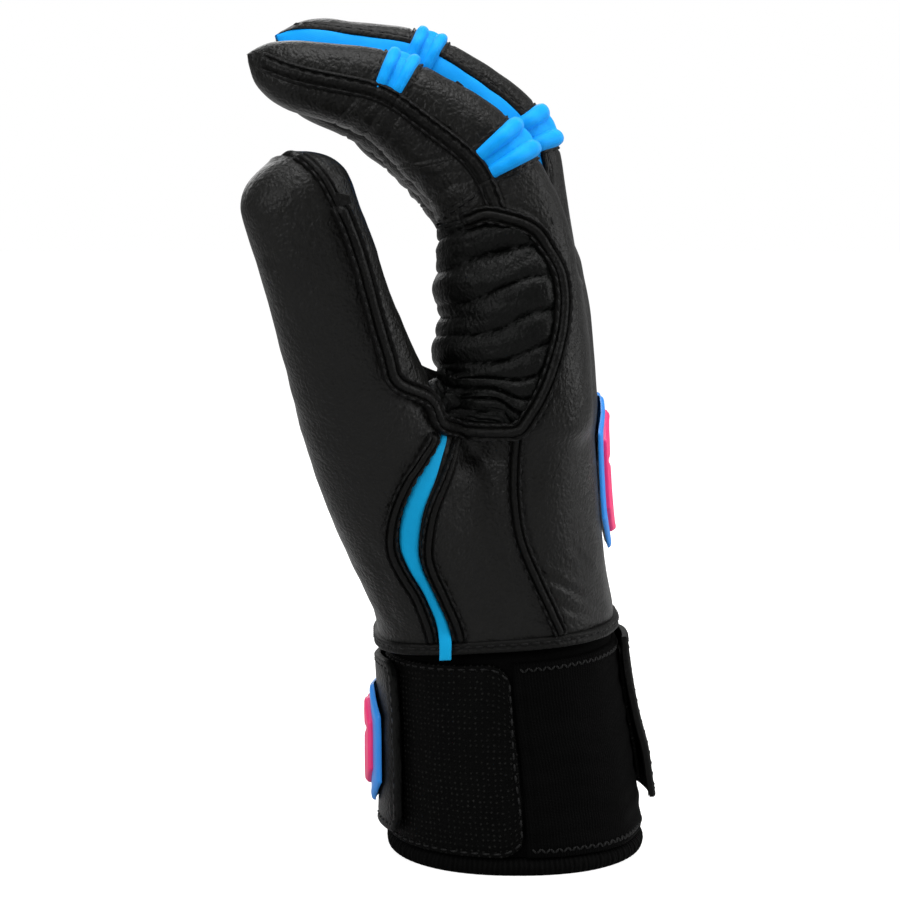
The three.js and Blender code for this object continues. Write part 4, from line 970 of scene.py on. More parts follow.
def linear(red: int, green: int, blue: int) -> tuple[float, float, float, float]:
    """A colour as written on screen, from 0 to 255, as the light that it stands for."""
    parts = (c / 255 for c in (red, green, blue))
    made = [c / 12.92 if c <= 0.04045 else ((c + 0.055) / 1.055) ** 2.4 for c in parts]
    return (made[0], made[1], made[2], 1.0)


class Nodes:
    """A node tree with short ways to add nodes and to feed their inputs."""

    def __init__(self, tree: bpy.types.NodeTree) -> None:
        """Empties the tree."""
        self.tree = tree
        tree.nodes.clear()

    def feed(self, node: bpy.types.Node, inputs: Inputs) -> None:
        """Sets each named input to a value, or joins it to the socket that feeds it."""
        for key, value in inputs.items():
            if isinstance(value, Socket):
                self.tree.links.new(value, node.inputs[key])
            else:
                node.inputs[key].default_value = value

    def add(self, kind: str, inputs: Inputs | None = None, **settings: object) -> bpy.types.Node:
        """Adds a node with its own settings and its inputs."""
        node = self.tree.nodes.new(f"ShaderNode{kind}")
        for key, value in settings.items():
            setattr(node, key, value)
        self.feed(node, inputs or {})
        return node


class Shader(Nodes):
    """A material whose patterns are sockets."""

    def __init__(self, name: str, gloss: float | None = None, **surface: float) -> None:
        """Makes a material with a principled shader; surface names its inputs with _ for each space."""
        self.material = bpy.data.materials.new(name)
        self.material.use_nodes = True
        super().__init__(self.material.node_tree)
        self.surface = self.add("BsdfPrincipled")
        self.add("OutputMaterial", {"Surface": self.surface.outputs["BSDF"]})
        self.feed(self.surface, {key.replace("_", " "): value for key, value in surface.items()})
        if gloss is not None:
            self.feed(self.surface, {"Specular IOR Level": gloss})

    def place(self, weave: bool, stretch: Triple = (1, 1, 1)) -> Socket:
        """Places for a pattern: the piece's own weave map, or its place in the glove."""
        if weave:
            source = self.add("UVMap", uv_map="weave").outputs["UV"]
        else:
            source = self.add("TexCoord").outputs["Object"]
        return self.add("Mapping", {"Scale": stretch, "Vector": source}).outputs["Vector"]

    def noise(self, place: Socket, scale: float, detail: float = 3, twist: float = 0) -> Socket:
        """Soft noise from 0 to 1."""
        inputs = {"Vector": place, "Scale": scale, "Detail": detail, "Distortion": twist}
        return self.add("TexNoise", inputs).outputs["Fac"]

    def cells(self, place: Socket, scale: float, feature: str = "F1", random: float = 1.0) -> Socket:
        """Distances in a cell pattern."""
        inputs = {"Vector": place, "Scale": scale, "Randomness": random}
        return self.add("TexVoronoi", inputs, feature=feature).outputs["Distance"]

    def bands(self, place: Socket, scale: float, way: str, twist: float = 0) -> Socket:
        """Even bands along X or Y."""
        inputs = {"Vector": place, "Scale": scale, "Distortion": twist, "Detail": 1}
        return self.add("TexWave", inputs, wave_type="BANDS", bands_direction=way).outputs["Fac"]

    def remap(self, value: Socket, low: float, high: float, start: float = 0, end: float = 1) -> Socket:
        """A value moved from one range to another."""
        inputs = {"Value": value, "From Min": start, "From Max": end, "To Min": low, "To Max": high}
        return self.add("MapRange", inputs).outputs["Result"]

    def sum(self, first: Socket, second: Socket, way: str = "ADD") -> Socket:
        """Two values joined by a sum or another simple rule."""
        return self.add("Math", {0: first, 1: second}, operation=way).outputs[0]

    def colour(self, share: Socket, low: Tint, high: Tint) -> None:
        """The surface's colour, between two by a share."""
        node = self.add("Mix", data_type="RGBA")
        self.feed(node, {"Factor": share, 6: linear(*low), 7: linear(*high)})
        self.feed(self.surface, {"Base Color": node.outputs[2]})

    def bump(self, *layers: tuple[Socket, float, float]) -> Material:
        """Small relief in layers, each a height, a strength and a depth in metres, ends the material."""
        before: Inputs = {}
        for height, strength, depth in layers:
            node = self.add("Bump", {"Strength": strength, "Distance": depth, "Height": height, **before})
            before = {"Normal": node.outputs["Normal"]}
        self.feed(self.surface, before)
        return self.material

    def rim(self) -> Socket:
        """How far a point lies from the piece's free edge, in millimetres."""
        return self.add("Attribute", attribute_name="edge_distance").outputs["Fac"]


@dataclass(frozen=True)
class Leather:
    """Soft goatskin, with its range of roughness and the strengths of its gloss and grain."""

    name: str
    dark: Tint
    pale: Tint
    shine: Trim
    gloss: float
    grain: float

    def dress(self) -> Material:
        """Grain is a cell pattern, creases are stretched noise, and edges are rubbed a little paler."""
        shader, grain = Shader(self.name, self.gloss), self.grain
        place = shader.place(False)
        pebble = shader.cells(place, 1250, "SMOOTH_F1")
        creases = shader.noise(shader.place(False, (1.0, 1.0, 0.55)), 620, 5, 1.6)
        slow = shader.noise(place, 60, 3)
        shader.colour(shader.sum(slow, shader.remap(pebble, 0.35, -0.2)), self.dark, self.pale)
        worn = shader.remap(shader.rim(), 0.07, 0.0, 0.0, 1.6)
        rough = shader.sum(shader.remap(slow, *self.shine, 0.3, 0.7), worn)
        shader.feed(shader.surface, {"Roughness": rough})
        fine = (creases, 0.75 * grain, 0.0004), (pebble, 0.7 * grain, -0.00026)
        return shader.bump((slow, 0.25, 0.0008), *fine)


@dataclass(frozen=True)
class Stretch:
    """Smooth fabric with a faint knit and a soft sheen."""

    name: str
    tint: Tint
    shade: Tint
    rough: float

    def dress(self) -> Material:
        """Colour drifts with noise; the knit is two crossing bands on the weave map."""
        shader = Shader(self.name, 0.12, Roughness=self.rough, Sheen_Weight=0.05, Sheen_Roughness=0.4)
        place, weave = shader.place(False), shader.place(True)
        knit = shader.sum(shader.bands(weave, 62, "X"), shader.bands(weave, 62, "Y"), "MULTIPLY")
        shader.colour(shader.noise(place, 130, 3), self.shade, self.tint)
        return shader.bump((shader.noise(place, 420, 4), 0.2, 0.0004), (knit, 0.12, 0.00015))


class Weave(Enum):
    """The woven and knitted finishes of the cuff."""

    NEOPRENE = "neoprene_jersey"
    ELASTIC = "ribbed_elastic"
    HOOK = "hook_tape"
    LOOP = "loop_tape"
    BINDING = "gathered_binding"


@dataclass(frozen=True)
class Cloth:
    """One dark cloth of the cuff."""

    kind: Weave

    def dress(self) -> Material:
        """Its own mix of bands and cells on the weave map, with a little fluff."""
        kind = self.kind
        rough = 0.6 if kind is Weave.HOOK else 0.85
        shader = Shader(kind.value, 0.03, Roughness=rough, Sheen_Weight=0.0)
        place, weave = shader.place(False), shader.place(True)
        fluff, slow = shader.noise(place, 900, 4), shader.noise(place, 90, 3)
        dark, pale = (1, 1, 1), (9, 9, 9)
        if kind is Weave.ELASTIC:
            ribs, rows = shader.bands(weave, 42, "X", 0.4), shader.bands(weave, 88, "Y", 0.8)
            knit = shader.sum(ribs, rows, "MULTIPLY")
            share = shader.sum(shader.remap(knit, 0, 0.45), shader.remap(slow, -0.1, 0.3))
            layers = ((ribs, 0.45, 0.0003), (rows, 0.4, 0.0002), (fluff, 0.4, 0.0002))
        elif kind is Weave.HOOK:
            heads = shader.remap(shader.cells(weave, 74, "F1", 0.3), 1, 0, 0.1, 0.34)
            spots = shader.sum(heads, shader.remap(slow, 0, 1.2), "MULTIPLY")
            share = shader.sum(spots, shader.remap(fluff, 0, 0.1))
            dark, pale = (0, 0, 0), (34, 34, 33)
            layers = ((heads, 0.9, 0.0006), (fluff, 0.3, 0.0002))
        elif kind is Weave.LOOP:
            share = shader.noise(place, 1500, 6, 2)
            layers = ((share, 0.9, 0.0006),)
        elif kind is Weave.BINDING:
            pulls = shader.bands(weave, 26, "X", 2.4)
            share = shader.sum(shader.remap(pulls, 0, 0.5), shader.remap(fluff, 0, 0.4))
            layers = ((pulls, 0.5, 0.0005), (fluff, 0.5, 0.0002))
        else:
            ribs, rows = shader.bands(weave, 105, "X", 0.5), shader.bands(weave, 105, "Y", 0.5)
            knit = shader.sum(ribs, rows, "MULTIPLY")
            share = shader.sum(shader.remap(knit, 0, 0.3), shader.remap(slow, 0, 0.4))
            layers = ((knit, 0.35, 0.0002), (fluff, 0.35, 0.0002))
        shader.colour(share, dark, pale)
        return shader.bump(*layers)


@dataclass(frozen=True)
class Rubber:
    """Soft moulded rubber."""

    name: str
    tint: Tint
    shade: Tint

    def dress(self) -> Material:
        """Colour and gloss drift a little with noise, under a faint mould grain."""
        shader = Shader(self.name)
        place = shader.place(False)
        slow = shader.noise(place, 170, 3)
        shader.colour(slow, self.shade, self.tint)
        shader.feed(shader.surface, {"Roughness": shader.remap(slow, 0.34, 0.5)})
        return shader.bump((shader.noise(place, 900, 3), 0.12, 0.0002))


@dataclass(frozen=True)
class Yarn:
    """Twisted sewing thread."""

    name: str
    dark: Tint
    pale: Tint

    def dress(self) -> Material:
        """Fine noise stands in for the twist."""
        shader = Shader(self.name, 0.14, Roughness=0.5)
        twist = shader.noise(shader.place(False), 2600, 2)
        shader.colour(twist, self.dark, self.pale)
        return shader.bump((twist, 0.4, 0.0001))


FINISHES = {
    "leather": Leather("goatskin", (6, 6, 5), (15, 15, 14), (0.3, 0.46), 0.15, 1.0),
    "seam_leather": Leather("seam_goatskin", (4, 4, 4), (11, 11, 10), (0.36, 0.5), 0.09, 0.8),
    "web_leather": Leather("web_goatskin", (2, 2, 2), (5, 6, 5), (0.36, 0.5), 0.1, 0.9),
    "flex_knit": Stretch("flex_knit", (0, 148, 226), (0, 134, 214), 0.62),
    # The insert's knit is the flex knit painted a little darker and greener, as painted shade on the
    # thumb-side insert.
    "shaded_insert_knit": Stretch("shaded_insert_knit", (0, 152, 204), (0, 140, 192), 0.7),
    "blue_rubber": Rubber("blue_rubber", (10, 132, 222), (6, 118, 204)),
    "pink_rubber": Rubber("pink_rubber", (238, 36, 112), (222, 30, 106)),
    "thread": Yarn("black_thread", (3, 3, 3), (12, 12, 12)),
    "pale_thread": Yarn("grey_thread", (5, 5, 5), (18, 18, 18)),
    **{kind.value: Cloth(kind) for kind in Weave},
}


def show(name: str, data: bpy.types.ID, place: Vector | None = None) -> bpy.types.Object:
    """Puts an object into the scene; one with a place looks at the glove."""
    thing = bpy.data.objects.new(name, data)
    if place is not None:
        thing.location = place
        thing.rotation_euler = (GLOVE_CENTRE - place).to_track_quat("-Z", "Y").to_euler()
    bpy.context.scene.collection.objects.link(thing)
    return thing


Bend = tuple[tuple[str, str], tuple[Array, Array]]


@dataclass
class Workshop:
    """Turns finished walls into pieces that ride on the frame.

    Attributes:
        materials: the dressed materials by name.
        shift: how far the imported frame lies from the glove's own place, in millimetres.
        threads: the stitches by the body that carries them.
    """

    materials: dict[str, Material]
    shift: Array
    threads: dict[tuple[str, str], Thread] = field(default_factory=dict)

    def mesh(self, name: str, wall: Wall, finish: str, sharp: float = 55) -> bpy.types.Object:
        """Puts a wall into Blender, in metres.

        Args:
            name: the piece's name.
            wall: its vertices and faces.
            finish: the name of its material.
            sharp: edges that bend more than this many degrees stay sharp.

        Returns:
            The new object.
        """
        four, three = whole_faces(wall.faces)
        mesh = bpy.data.meshes.new(name)
        mesh.vertices.add(len(wall.vertices))
        mesh.vertices.foreach_set("co", ((wall.vertices + self.shift) / 1000).astype(np.float32).ravel())
        corners = np.concatenate([four.ravel(), three.ravel()])
        mesh.loops.add(len(corners))
        mesh.loops.foreach_set("vertex_index", corners.astype(np.int32))
        starts = np.concatenate([np.arange(len(four)) * 4, len(four) * 4 + np.arange(len(three)) * 3])
        mesh.polygons.add(len(starts))
        mesh.polygons.foreach_set("loop_start", starts.astype(np.int32))
        mesh.update(calc_edges=True)
        mesh.validate()
        if wall.weave is not None:
            layer = mesh.uv_layers.new(name="weave")
            layer.data.foreach_set("uv", (wall.weave[corners] * WEAVE_SCALE).astype(np.float32).ravel())
        distance = wall.rim if wall.rim is not None else np.full(len(wall.vertices), 9.0)
        edges = mesh.attributes.new("edge_distance", "FLOAT", "POINT")
        edges.data.foreach_set("value", distance.astype(np.float32))
        mesh.shade_smooth()
        mesh.set_sharp_from_angle(angle=math.radians(sharp))
        mesh.materials.append(self.materials[finish])
        LOG.info("%s: %d vertices", name, len(mesh.vertices))
        return show(name, mesh)

    def fit(
        self, name: str, sheet: Sheet, finish: str, node: str = "", body: str = "hand", slot: str = "",
        bend: Bend | None = None,
    ) -> Grid:
        """Makes a piece of a sheet.

        Args:
            name: the piece's name.
            sheet: its shape.
            finish: the name of its material.
            node: the CAD node that it stands for, if any.
            body: the body that it rides on.
            slot: not used.
            bend: the two bodies beside a joint, with the bend's start and end; given one, the piece is left
                unattached with its transform baked, and the bodies and ends are not used.

        Returns:
            The sheet's first grid, as built.
        """
        piece = self.mesh(name, sheet.build(), finish)
        if bend:
            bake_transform(piece)
        else:
            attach(piece, body)
        if node:
            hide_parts(node)
        return sheet.grids[0]

    def sew(
        self, body: str, grid: Grid, sides: str, distance: float, trim: Trim = (0, 0), yarn: str = "thread",
    ) -> None:
        """Adds rows of stitches to the thread that a body carries.

        Args:
            body: the body.
            grid: a built grid.
            sides: the sides that the rows follow, with spaces between.
            distance: how far in they lie.
            trim: how much is left out at the two ends.
            yarn: the name of the thread's material.
        """
        for side in sides.split():
            line, facing = inset(grid, side, distance, trim)
            if len(line) > 2:
                self.threads.setdefault((body, yarn), Thread()).sew(line, facing)

    def zigzag(self, body: str, grid: Grid, sides: str, distance: float, trim: Trim, half: float) -> None:
        """Adds stitches that cross a line from side to side, half its width to each side."""
        for side in sides.split():
            line, facing = inset(grid, side, distance, trim)
            run = run_along(line)
            at = np.linspace(0, run[-1], max(4, round(run[-1] / 1.1)))
            place, face = glide(at, run, line), unit(glide(at, run, facing))
            aside = unit(np.cross(np.gradient(place, axis=0), face))
            place = place + aside * half * np.where(np.arange(len(at)) % 2, 1, -1)[:, None]
            thread = self.threads.setdefault((body, "thread"), Thread())
            thread.bars(place[:-1], place[1:], unit(face[:-1] + face[1:]))

    def tie_off(self) -> None:
        """Makes each body's stitches of one yarn one piece."""
        for (body, yarn), thread in self.threads.items():
            piece = self.mesh(f"{body}_{yarn}_stitches", thread.build(), yarn, 80)
            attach(piece, body)


def ripple(points: Array, size: float, depth: float, seed: int) -> Array:
    """Soft irregular swells: a mean of sines with seeded ways and phases, each about one size long."""
    dice = np.random.default_rng(seed)
    ways = unit(dice.normal(size=(7, 3))) * (2 * np.pi / (size * dice.uniform(0.7, 1.5, (7, 1))))
    return depth * np.sin(points @ ways.T + dice.uniform(0, 2 * np.pi, 7)).mean(-1) * 1.9


@dataclass(frozen=True)
class Crease:
    """A crease in the leather of the thumb side: a sunk line with a soft swell beside it.

    Attributes:
        path: places as (x, z), seen from the thumb side.
        depth: how deep it is.
        width: how wide it is.
    """

    path: tuple[tuple[float, float], ...]
    depth: float = 0.7
    width: float = 1.1

    def lift(self, points: Array, faces_side: Array) -> Array:
        """-depth * (bell(d / width) - 0.5 * bell(d / 3 width)) at distance d, fading to the path's ends."""
        flat = points[..., ::2]
        path = np.array(self.path)
        best = np.full(points.shape[:-1], 1e9)
        strength = np.zeros(points.shape[:-1])
        lengths = np.linalg.norm(np.diff(path, axis=0), axis=1)
        for k, (a, b) in enumerate(zip(path[:-1], path[1:])):
            t = np.clip(((flat - a) @ (b - a)) / ((b - a) @ (b - a)), 0, 1)
            distance = np.linalg.norm(flat - a - t[..., None] * (b - a), axis=-1)
            along = (lengths[:k].sum() + t * lengths[k]) / lengths.sum()
            nearer = distance < best
            strength = np.where(nearer, np.sin(np.pi * np.clip(along, 0.02, 0.98)) ** 0.6, strength)
            best = np.minimum(best, distance)
        bell = np.exp(-((best / self.width) ** 2)) - 0.5 * np.exp(-((best / (3 * self.width)) ** 2))
        return -self.depth * strength * bell * faces_side


def creased(
    points: Array, creases: Sequence[Crease], size: float = 26, depth: float = 0.35, seed: int = 1,
) -> Array:
    """The lift of soft leather: slow swells, finer ones, and creases where it faces the thumb side.

    Args:
        points: a grid of the leather.
        creases: its creases.
        size: about how long a swell is.
        depth: how high it is.
        seed: what its random draws start from.

    Returns:
        The lift at each point.
    """
    lift = ripple(points, size, depth, seed) + ripple(points, size / 3, depth / 4, seed + 50)
    facing = grid_facing(points)
    side = np.clip(np.abs(facing[..., 1]) * 1.4, 0, 1) * (points[..., 1] < 6)
    return lift + sum((crease.lift(points, side) for crease in creases), np.zeros(points.shape[:-1]))


STRIP_ACROSS = powered(np.linspace(-1, 1, 15), 0.85)


def band(line: Array, width: float) -> Array:
    """A strip of points along a line on the hand, settled on the hand.

    Args:
        line: a smooth line of points.
        width: how wide the strip is.

    Returns:
        A grid, one row for each point of the line.
    """
    aside = unit(np.cross(np.gradient(line, axis=0), outward(line)))
    across = STRIP_ACROSS * width / 2
    return settle(line[:, None] + aside[:, None] * across[None, :, None], 3)


WELT_SHARES = (
    (-1, 0.2), (-0.86, 0.72), (-0.7, 0.82), (-0.52, 0.3), (-0.34, 0.8), (0, 1.05), (0.34, 0.8), (0.52, 0.3),
    (0.7, 0.82), (0.86, 0.72), (1, 0.2),
)


@dataclass
class Side:
    """The seams, welts, insert and web on the thumb side, and the panels that they join."""

    shop: Workshop
    welt_width: float = 3.3
    band_width: float = 4.2
    pleats: int = 9

    CREASES = (
        Crease(((2, 76), (9, 71.5), (16, 67), (21.5, 64.5)), 1.0, 0.8),
        Crease(((12, 81), (17, 74), (20.5, 69), (23, 64)), 1.0, 0.8),
        Crease(((6, 68), (12, 64.5), (19, 62)), 0.6, 0.7),
        Crease(((17, 86), (20, 80), (22, 74)), 0.5, 0.7),
        Crease(((-2, 66), (4, 63), (9, 62)), 0.4, 0.7),
        Crease(((-34, 70), (-30, 62), (-24, 57)), 0.35, 1.6),
        Crease(((-38, 84), (-33, 76), (-31, 66)), 0.3, 1.8),
        Crease(((-62, 155), (-56, 158), (-50, 152)), 0.35, 1.2),
        Crease(((-64, 148), (-57, 150), (-52, 144)), 0.35, 1.2),
    )

    def raised(
        self, name: str, line: Array, width: float, base: float, height: float, slot: str = "leather",
    ) -> None:
        """A sewn strip with a ridge between two rows of stitches, which it also sews.

        Args:
            name: the CAD node it stands for.
            line: its middle, on the hand.
            width: how wide it is.
            base: how far its foot lies above the leather.
            height: how far its ridge lies above its foot.
            slot: not used.
        """
        points = lean(band(line, width))
        run = run_along(line)
        fade = ease(np.minimum(run, run[-1] - run), 0.2, 3.0)[:, None]
        lift = (base + height * trend(WELT_SHARES, STRIP_ACROSS)[None] + 0.5) * fade - 0.5
        lift = lift + ripple(points, 5, 0.07, len(name))
        sheet = Sheet(1.0, EdgeFinish(roll=0.45, drop=0.35, puff=0)).add(points, lift)
        node = "" if name == "outer_seam" else name
        grid = self.shop.fit(f"{name}_strip", sheet, "seam_leather", node, slot=slot)
        self.shop.sew("hand", grid, "first last", width * 0.26, (2.4, 2.4))

    def thumb_wall(self, run: Array, turn: Array) -> Array:
        """The thumb's wall: on the hand's shape lower down, and on the thumb's own tube towards the tip."""
        run, turn = np.broadcast_arrays(np.asarray(run, float), np.asarray(turn, float))
        own = THUMB.point(run, turn)
        fade = ease(run, THUMB.length - THUMB_ROUND * 2.4, THUMB.length - THUMB_ROUND * 1.2)[..., None]
        return settle(own) * (1 - fade) + own * fade

    def thumb_near(self, run: Array) -> Array:
        """The turn of the thumb's inner seam along its run."""
        return trend(((0.5, -62), (0.7, -55), (0.85, -50), (1, -60)), run / THUMB.length)

    def thumb_rows(self, far: float, columns: int) -> Array:
        """Rows round the thumb from the fork to the folded edge at its tip."""
        angles = np.radians(np.linspace(0, 90, 7)[1:])
        straight = np.linspace(THUMB_START, THUMB.length - THUMB_ROUND, 11)
        runs = np.concatenate([straight, THUMB.length - THUMB_ROUND + THUMB_ROUND * np.sin(angles)])
        near = self.thumb_near(runs)
        turns = near[:, None] + (far - near)[:, None] * np.linspace(0, 1, columns + 1)
        return np.concatenate([self.thumb_wall(runs[:, None], turns), end_row(THUMB, turns[-1])[None]])

    def fork_row(self, columns: int = 8) -> Array:
        """The bottom of the fork between thumb and hand, from the thumb side to the palm side."""
        start = seam_spot(2)
        end = thenar_point(np.array(MORPH_START + SEAM_STEP / 2))
        share = np.linspace(0, 1, columns + 1)[:, None]
        row = start + (end - start) * share
        row[:, 2] += np.sin(share[:, 0] * np.pi) * SEAM_STEP
        row = settle(row)
        row[0], row[-1] = start, end
        return row

    def thumb(self) -> None:
        """The thumb's outer leather from the hem to the tip, and its inner leather."""
        heights = np.linspace(HEM_BASE, GUSSET_BOTTOM, 14)
        columns = 20
        lower = cast_rows(
            thumb_axis, side_point("insert_front", heights), thenar_point(heights), columns, falling=True
        )
        upper = self.thumb_rows(THUMB_FAR, columns)
        between = []
        for step in (1, 2):
            row = settle(lower[-1] + (upper[0] - lower[-1]) * step / 3)
            row[0], row[-1] = seam_spot(step), thenar_point(np.array(GUSSET_BOTTOM + SEAM_STEP * step))
            between.append(row)
        coarse = np.concatenate([lower, np.array(between), upper])
        points = lean(refine(coarse, 0.9))
        sheet = Sheet(edge=TURNED).add(points, creased(points, self.CREASES, 30, 0.4, 3), cap=THUMB)
        self.shop.fit("thumb_leather", sheet, "leather", "thumb_panel")
        rows = np.concatenate([self.fork_row()[None], self.thumb_rows(THUMB_FAR + 360, 8)])
        points = lean(refine(rows, 0.9))
        sheet = Sheet(edge=TURNED).add(points, creased(points, (), 16, 0.25, 4) - 0.15, cap=THUMB)
        self.shop.fit("thumb_inner_leather", sheet, "leather", "thumb_back")

    def strips(self) -> None:
        """The leather strip and the stretch insert between the welts, and the welts."""
        heights = np.linspace(HEM_BASE, GUSSET_BOTTOM, 18)[:, None]
        share = np.linspace(0, 1, 7)

        def between(first: str, last: str, at: Array) -> Array:
            """Rows from one line of sewing to another."""
            low, high = side_x(first, at), side_x(last, at)
            return side_spot(low + (high - low) * share, at)

        points = lean(refine(between("insert_back", "back_front", heights), 0.8))
        hollow = np.exp(-(((points[..., 0] + 12) / 4) ** 2) - ((points[..., 2] - 98.5) / 6) ** 2)
        sheet = Sheet(edge=TURNED).add(points, creased(points, self.CREASES, 24, 0.3, 5) + hollow)
        self.shop.fit("side_leather", sheet, "leather", "side_panel")

        rises = np.linspace(-0.9, GUSSET_BOTTOM - HEM_BASE, 26)[:, None]
        over = 2.8 * (1 - ease(rises, HEM_BAND - 0.5, HEM_BAND + 4.5))
        coarse = between("insert_front", "insert_back", HEM_BASE + rises)
        rows, columns = places(coarse, 0, 0.7), places(coarse, 1, 0.45)
        points = lean(refine(coarse, rows=rows, columns=columns))
        over = np.broadcast_to(over[:, :, None], (26, 7, 1)).copy()
        lift = refine(over, rows=rows, columns=columns)[..., 0]
        lift = lift + 0.25 + ripple(points, 7, 0.08, 8)
        sheet = Sheet(1.2, EdgeFinish(roll=0.7, drop=0.5, puff=0)).add(points, lift)
        # This knit carries painted shade: the flex knit's blue, painted a little darker and greener.
        self.shop.fit("side_insert", sheet, "shaded_insert_knit", "flex_insert")

        beside = (self.welt_width + 0.8) / 2
        foot = HEM_BASE + HEM_BAND - 1.6
        for name, line, aside in (
            ("welt_front", "insert_front", -beside), ("welt_middle", "insert_back", beside),
            ("welt_back", "back_front", 0.0),
        ):
            line = fine_line(side_point(line, np.linspace(foot, GUSSET_BOTTOM + 1.6, 20), aside), 0.7)
            self.raised(name, line, self.welt_width, 0.35, 1.05, "strip_leather")
        low = body_spot(3, np.linspace(foot, CROTCH_HEIGHT - 2, 40), np.ones(40), True)
        high = LITTLE.limb.point(np.linspace(CROTCH_RUN + 2, CROTCH_RUN + 6, 3), 90)
        line = smooth_line(fine_line(np.concatenate([low, high]), 0.7), 12)
        self.raised("outer_seam", settle(line), 3.4, 0.35, 0.85, "strip_leather")

    def gusset_lines(self) -> tuple[Array, Array]:
        """The gathered web's back edge and front edge, from the knuckle down to the fork's foot."""
        heights = np.array((1, 0.972, 0.93, 0.88, 0.83, 0.785, 0.745, 0.715, 0.695, 0.684)) * GUSSET_TOP
        back = index_spot(heights, gusset_turn(heights))
        under = np.array([insert_top(share) for share in (0.8, 0.5)])
        front_heights = np.array((0.94, 0.885, 0.83, 0.782)) * GUSSET_TOP
        seam = [seam_spot(step) for step in (1, 0)]
        top = INDEX.limb.point(gusset_top_run(np.array([-90.0, FOLD_TURN])), np.array([-90.0, FOLD_TURN]))
        front = np.concatenate([
            top[1:], index_spot(front_heights, FOLD_TURN), self.fork_row(4)[::-1], np.array(seam),
        ])
        back[0] = top[0]
        return np.concatenate([back, under]), front

    def web(self) -> None:
        """The gathered web: round ridges and sharp valleys, which wander, merge and carry finer pulls."""
        starts, ends = self.gusset_lines()
        count = 30
        rows = np.linspace(0, 1, count + 1)[1:]
        first = resample(starts, rows * (len(starts) - 1))
        last = resample(ends, rows * (len(ends) - 1))
        turns = np.linspace(-90, FOLD_TURN, 13)
        top = INDEX.limb.point(gusset_top_run(turns), turns)
        coarse = np.concatenate([top[None], settle_rows(index_axis, first, last, 12)])
        down, across = places(coarse, 0, 0.42), places(coarse, 1, 0.6)
        points = lean(refine(coarse, rows=down, columns=across))
        v = (down / (len(coarse) - 1))[:, None]
        u = (across / (coarse.shape[1] - 1))[None]
        wander = 0.1 * np.sin(3.6 * u + 7 * v) + 0.07 * np.sin(8 * u + 3 + 12 * v)
        wander = wander + 0.05 * np.sin(23 * u * v + 1)
        phase = self.pleats * 1.2 * v**0.86 + wander * ease(u, 0.02, 0.25)
        ridge = np.abs(np.sin(np.pi * phase)) ** 0.4
        fine = np.abs(np.sin(np.pi * (phase * 2.0 + 0.35 + 0.5 * np.sin(7 * u + 12 * v)))) ** 0.8
        lobe = np.abs(np.sin(np.pi * (phase * 0.5 + 0.3))) ** 0.7
        foot = 1 - ease(v, 0.55, 0.82) * ease(u, 0.6, 0.85)
        palmward = ease(u, 0.45, 0.8) * ease(v, 0.04, 0.22) * foot
        calm = 1 - ease(v, 0.72 - 0.12 * ease(u, 0.6, 0.9), 0.95 - 0.13 * ease(u, 0.6, 0.9)) * 0.8
        ends_fade = ease(u, 0.0, 0.13) * (1 - ease(u, 0.93, 1.0)) * ease(v, 0, 0.03 + 0.09 * u)
        ends_fade = ends_fade * (1 - ease(v, 0.97, 1))
        lift = ends_fade * calm * (ridge * (1.9 - 0.9 * palmward) + lobe * 2.2 * palmward + fine * 0.2)
        fan = np.sin(2 * np.pi * (phase * 4 + 3 * u)) * 0.16 * ease(v, 0.6, 0.8) * ends_fade
        lift = lift + fan + ripple(points, 3.2, 0.09, 12) * ends_fade
        sheet = Sheet(1.0, EdgeFinish(roll=0.6, drop=0.5, puff=0)).add(points, lift)
        self.shop.fit("thumb_web", sheet, "web_leather", "web_gusset")

    def web_edge(self) -> None:
        """The double-stitched band round the web and up the thumb's inner seam, and the seam to the tip."""
        tab = float(THUMB.run_at(GUSSET_TOP))
        runs = np.linspace(tab, THUMB_START, 8)
        seam = [seam_spot(step) for step in (2, 1, 0.4)]
        under = [insert_top(share) for share in (0.16, 0.5, 0.8)]
        back = self.gusset_lines()[0][1:10]
        turns = np.array([-96.0, -107, -118, -128])
        top = INDEX.limb.point(gusset_top_run(turns), turns)
        knots = np.concatenate([
            self.thumb_wall(runs, self.thumb_near(runs)), np.array(seam), np.array(under), back[::-1], top,
        ])
        line = settle(smooth_line(fine_line(knots, 0.75), 6), 3)
        self.raised("gusset_edge", line, self.band_width, 0.9, 1.35)
        runs = np.linspace(THUMB.length - 0.9, tab - 5.0, 46)
        line = self.thumb_wall(runs, self.thumb_near(runs))
        self.raised("thumb_seam", line, 2.9, 0.2, 0.9)
        self.thumb_tab(tab)

    def thumb_tab(self, run: float) -> None:
        """The small leather ear that sticks out of the thumb's inner seam."""
        centre = self.thumb_wall(np.array([run]), self.thumb_near(np.array([run])))[0]
        face = outward(centre[None])[0]
        along = unit(THUMB.read("along", run))
        aside = unit(np.cross(along, face))
        grid_u, grid_v = np.meshgrid(np.linspace(-1, 1, 9), np.linspace(0, 1, 9))
        width = 1.5 * (1 - 0.45 * grid_v**2)
        points = (
            centre + along * (grid_u * width)[..., None] - along * (1.2 * grid_v)[..., None]
            + unit(face + aside * 0.9) * (0.2 + 3.4 * grid_v)[..., None]
        )
        sheet = Sheet(0.9, CUT).add(points, 0.4 + ripple(points, 3, 0.1, 2), inside=centre - aside * 9)
        self.shop.fit("thumb_seam_ear", sheet, "seam_leather")

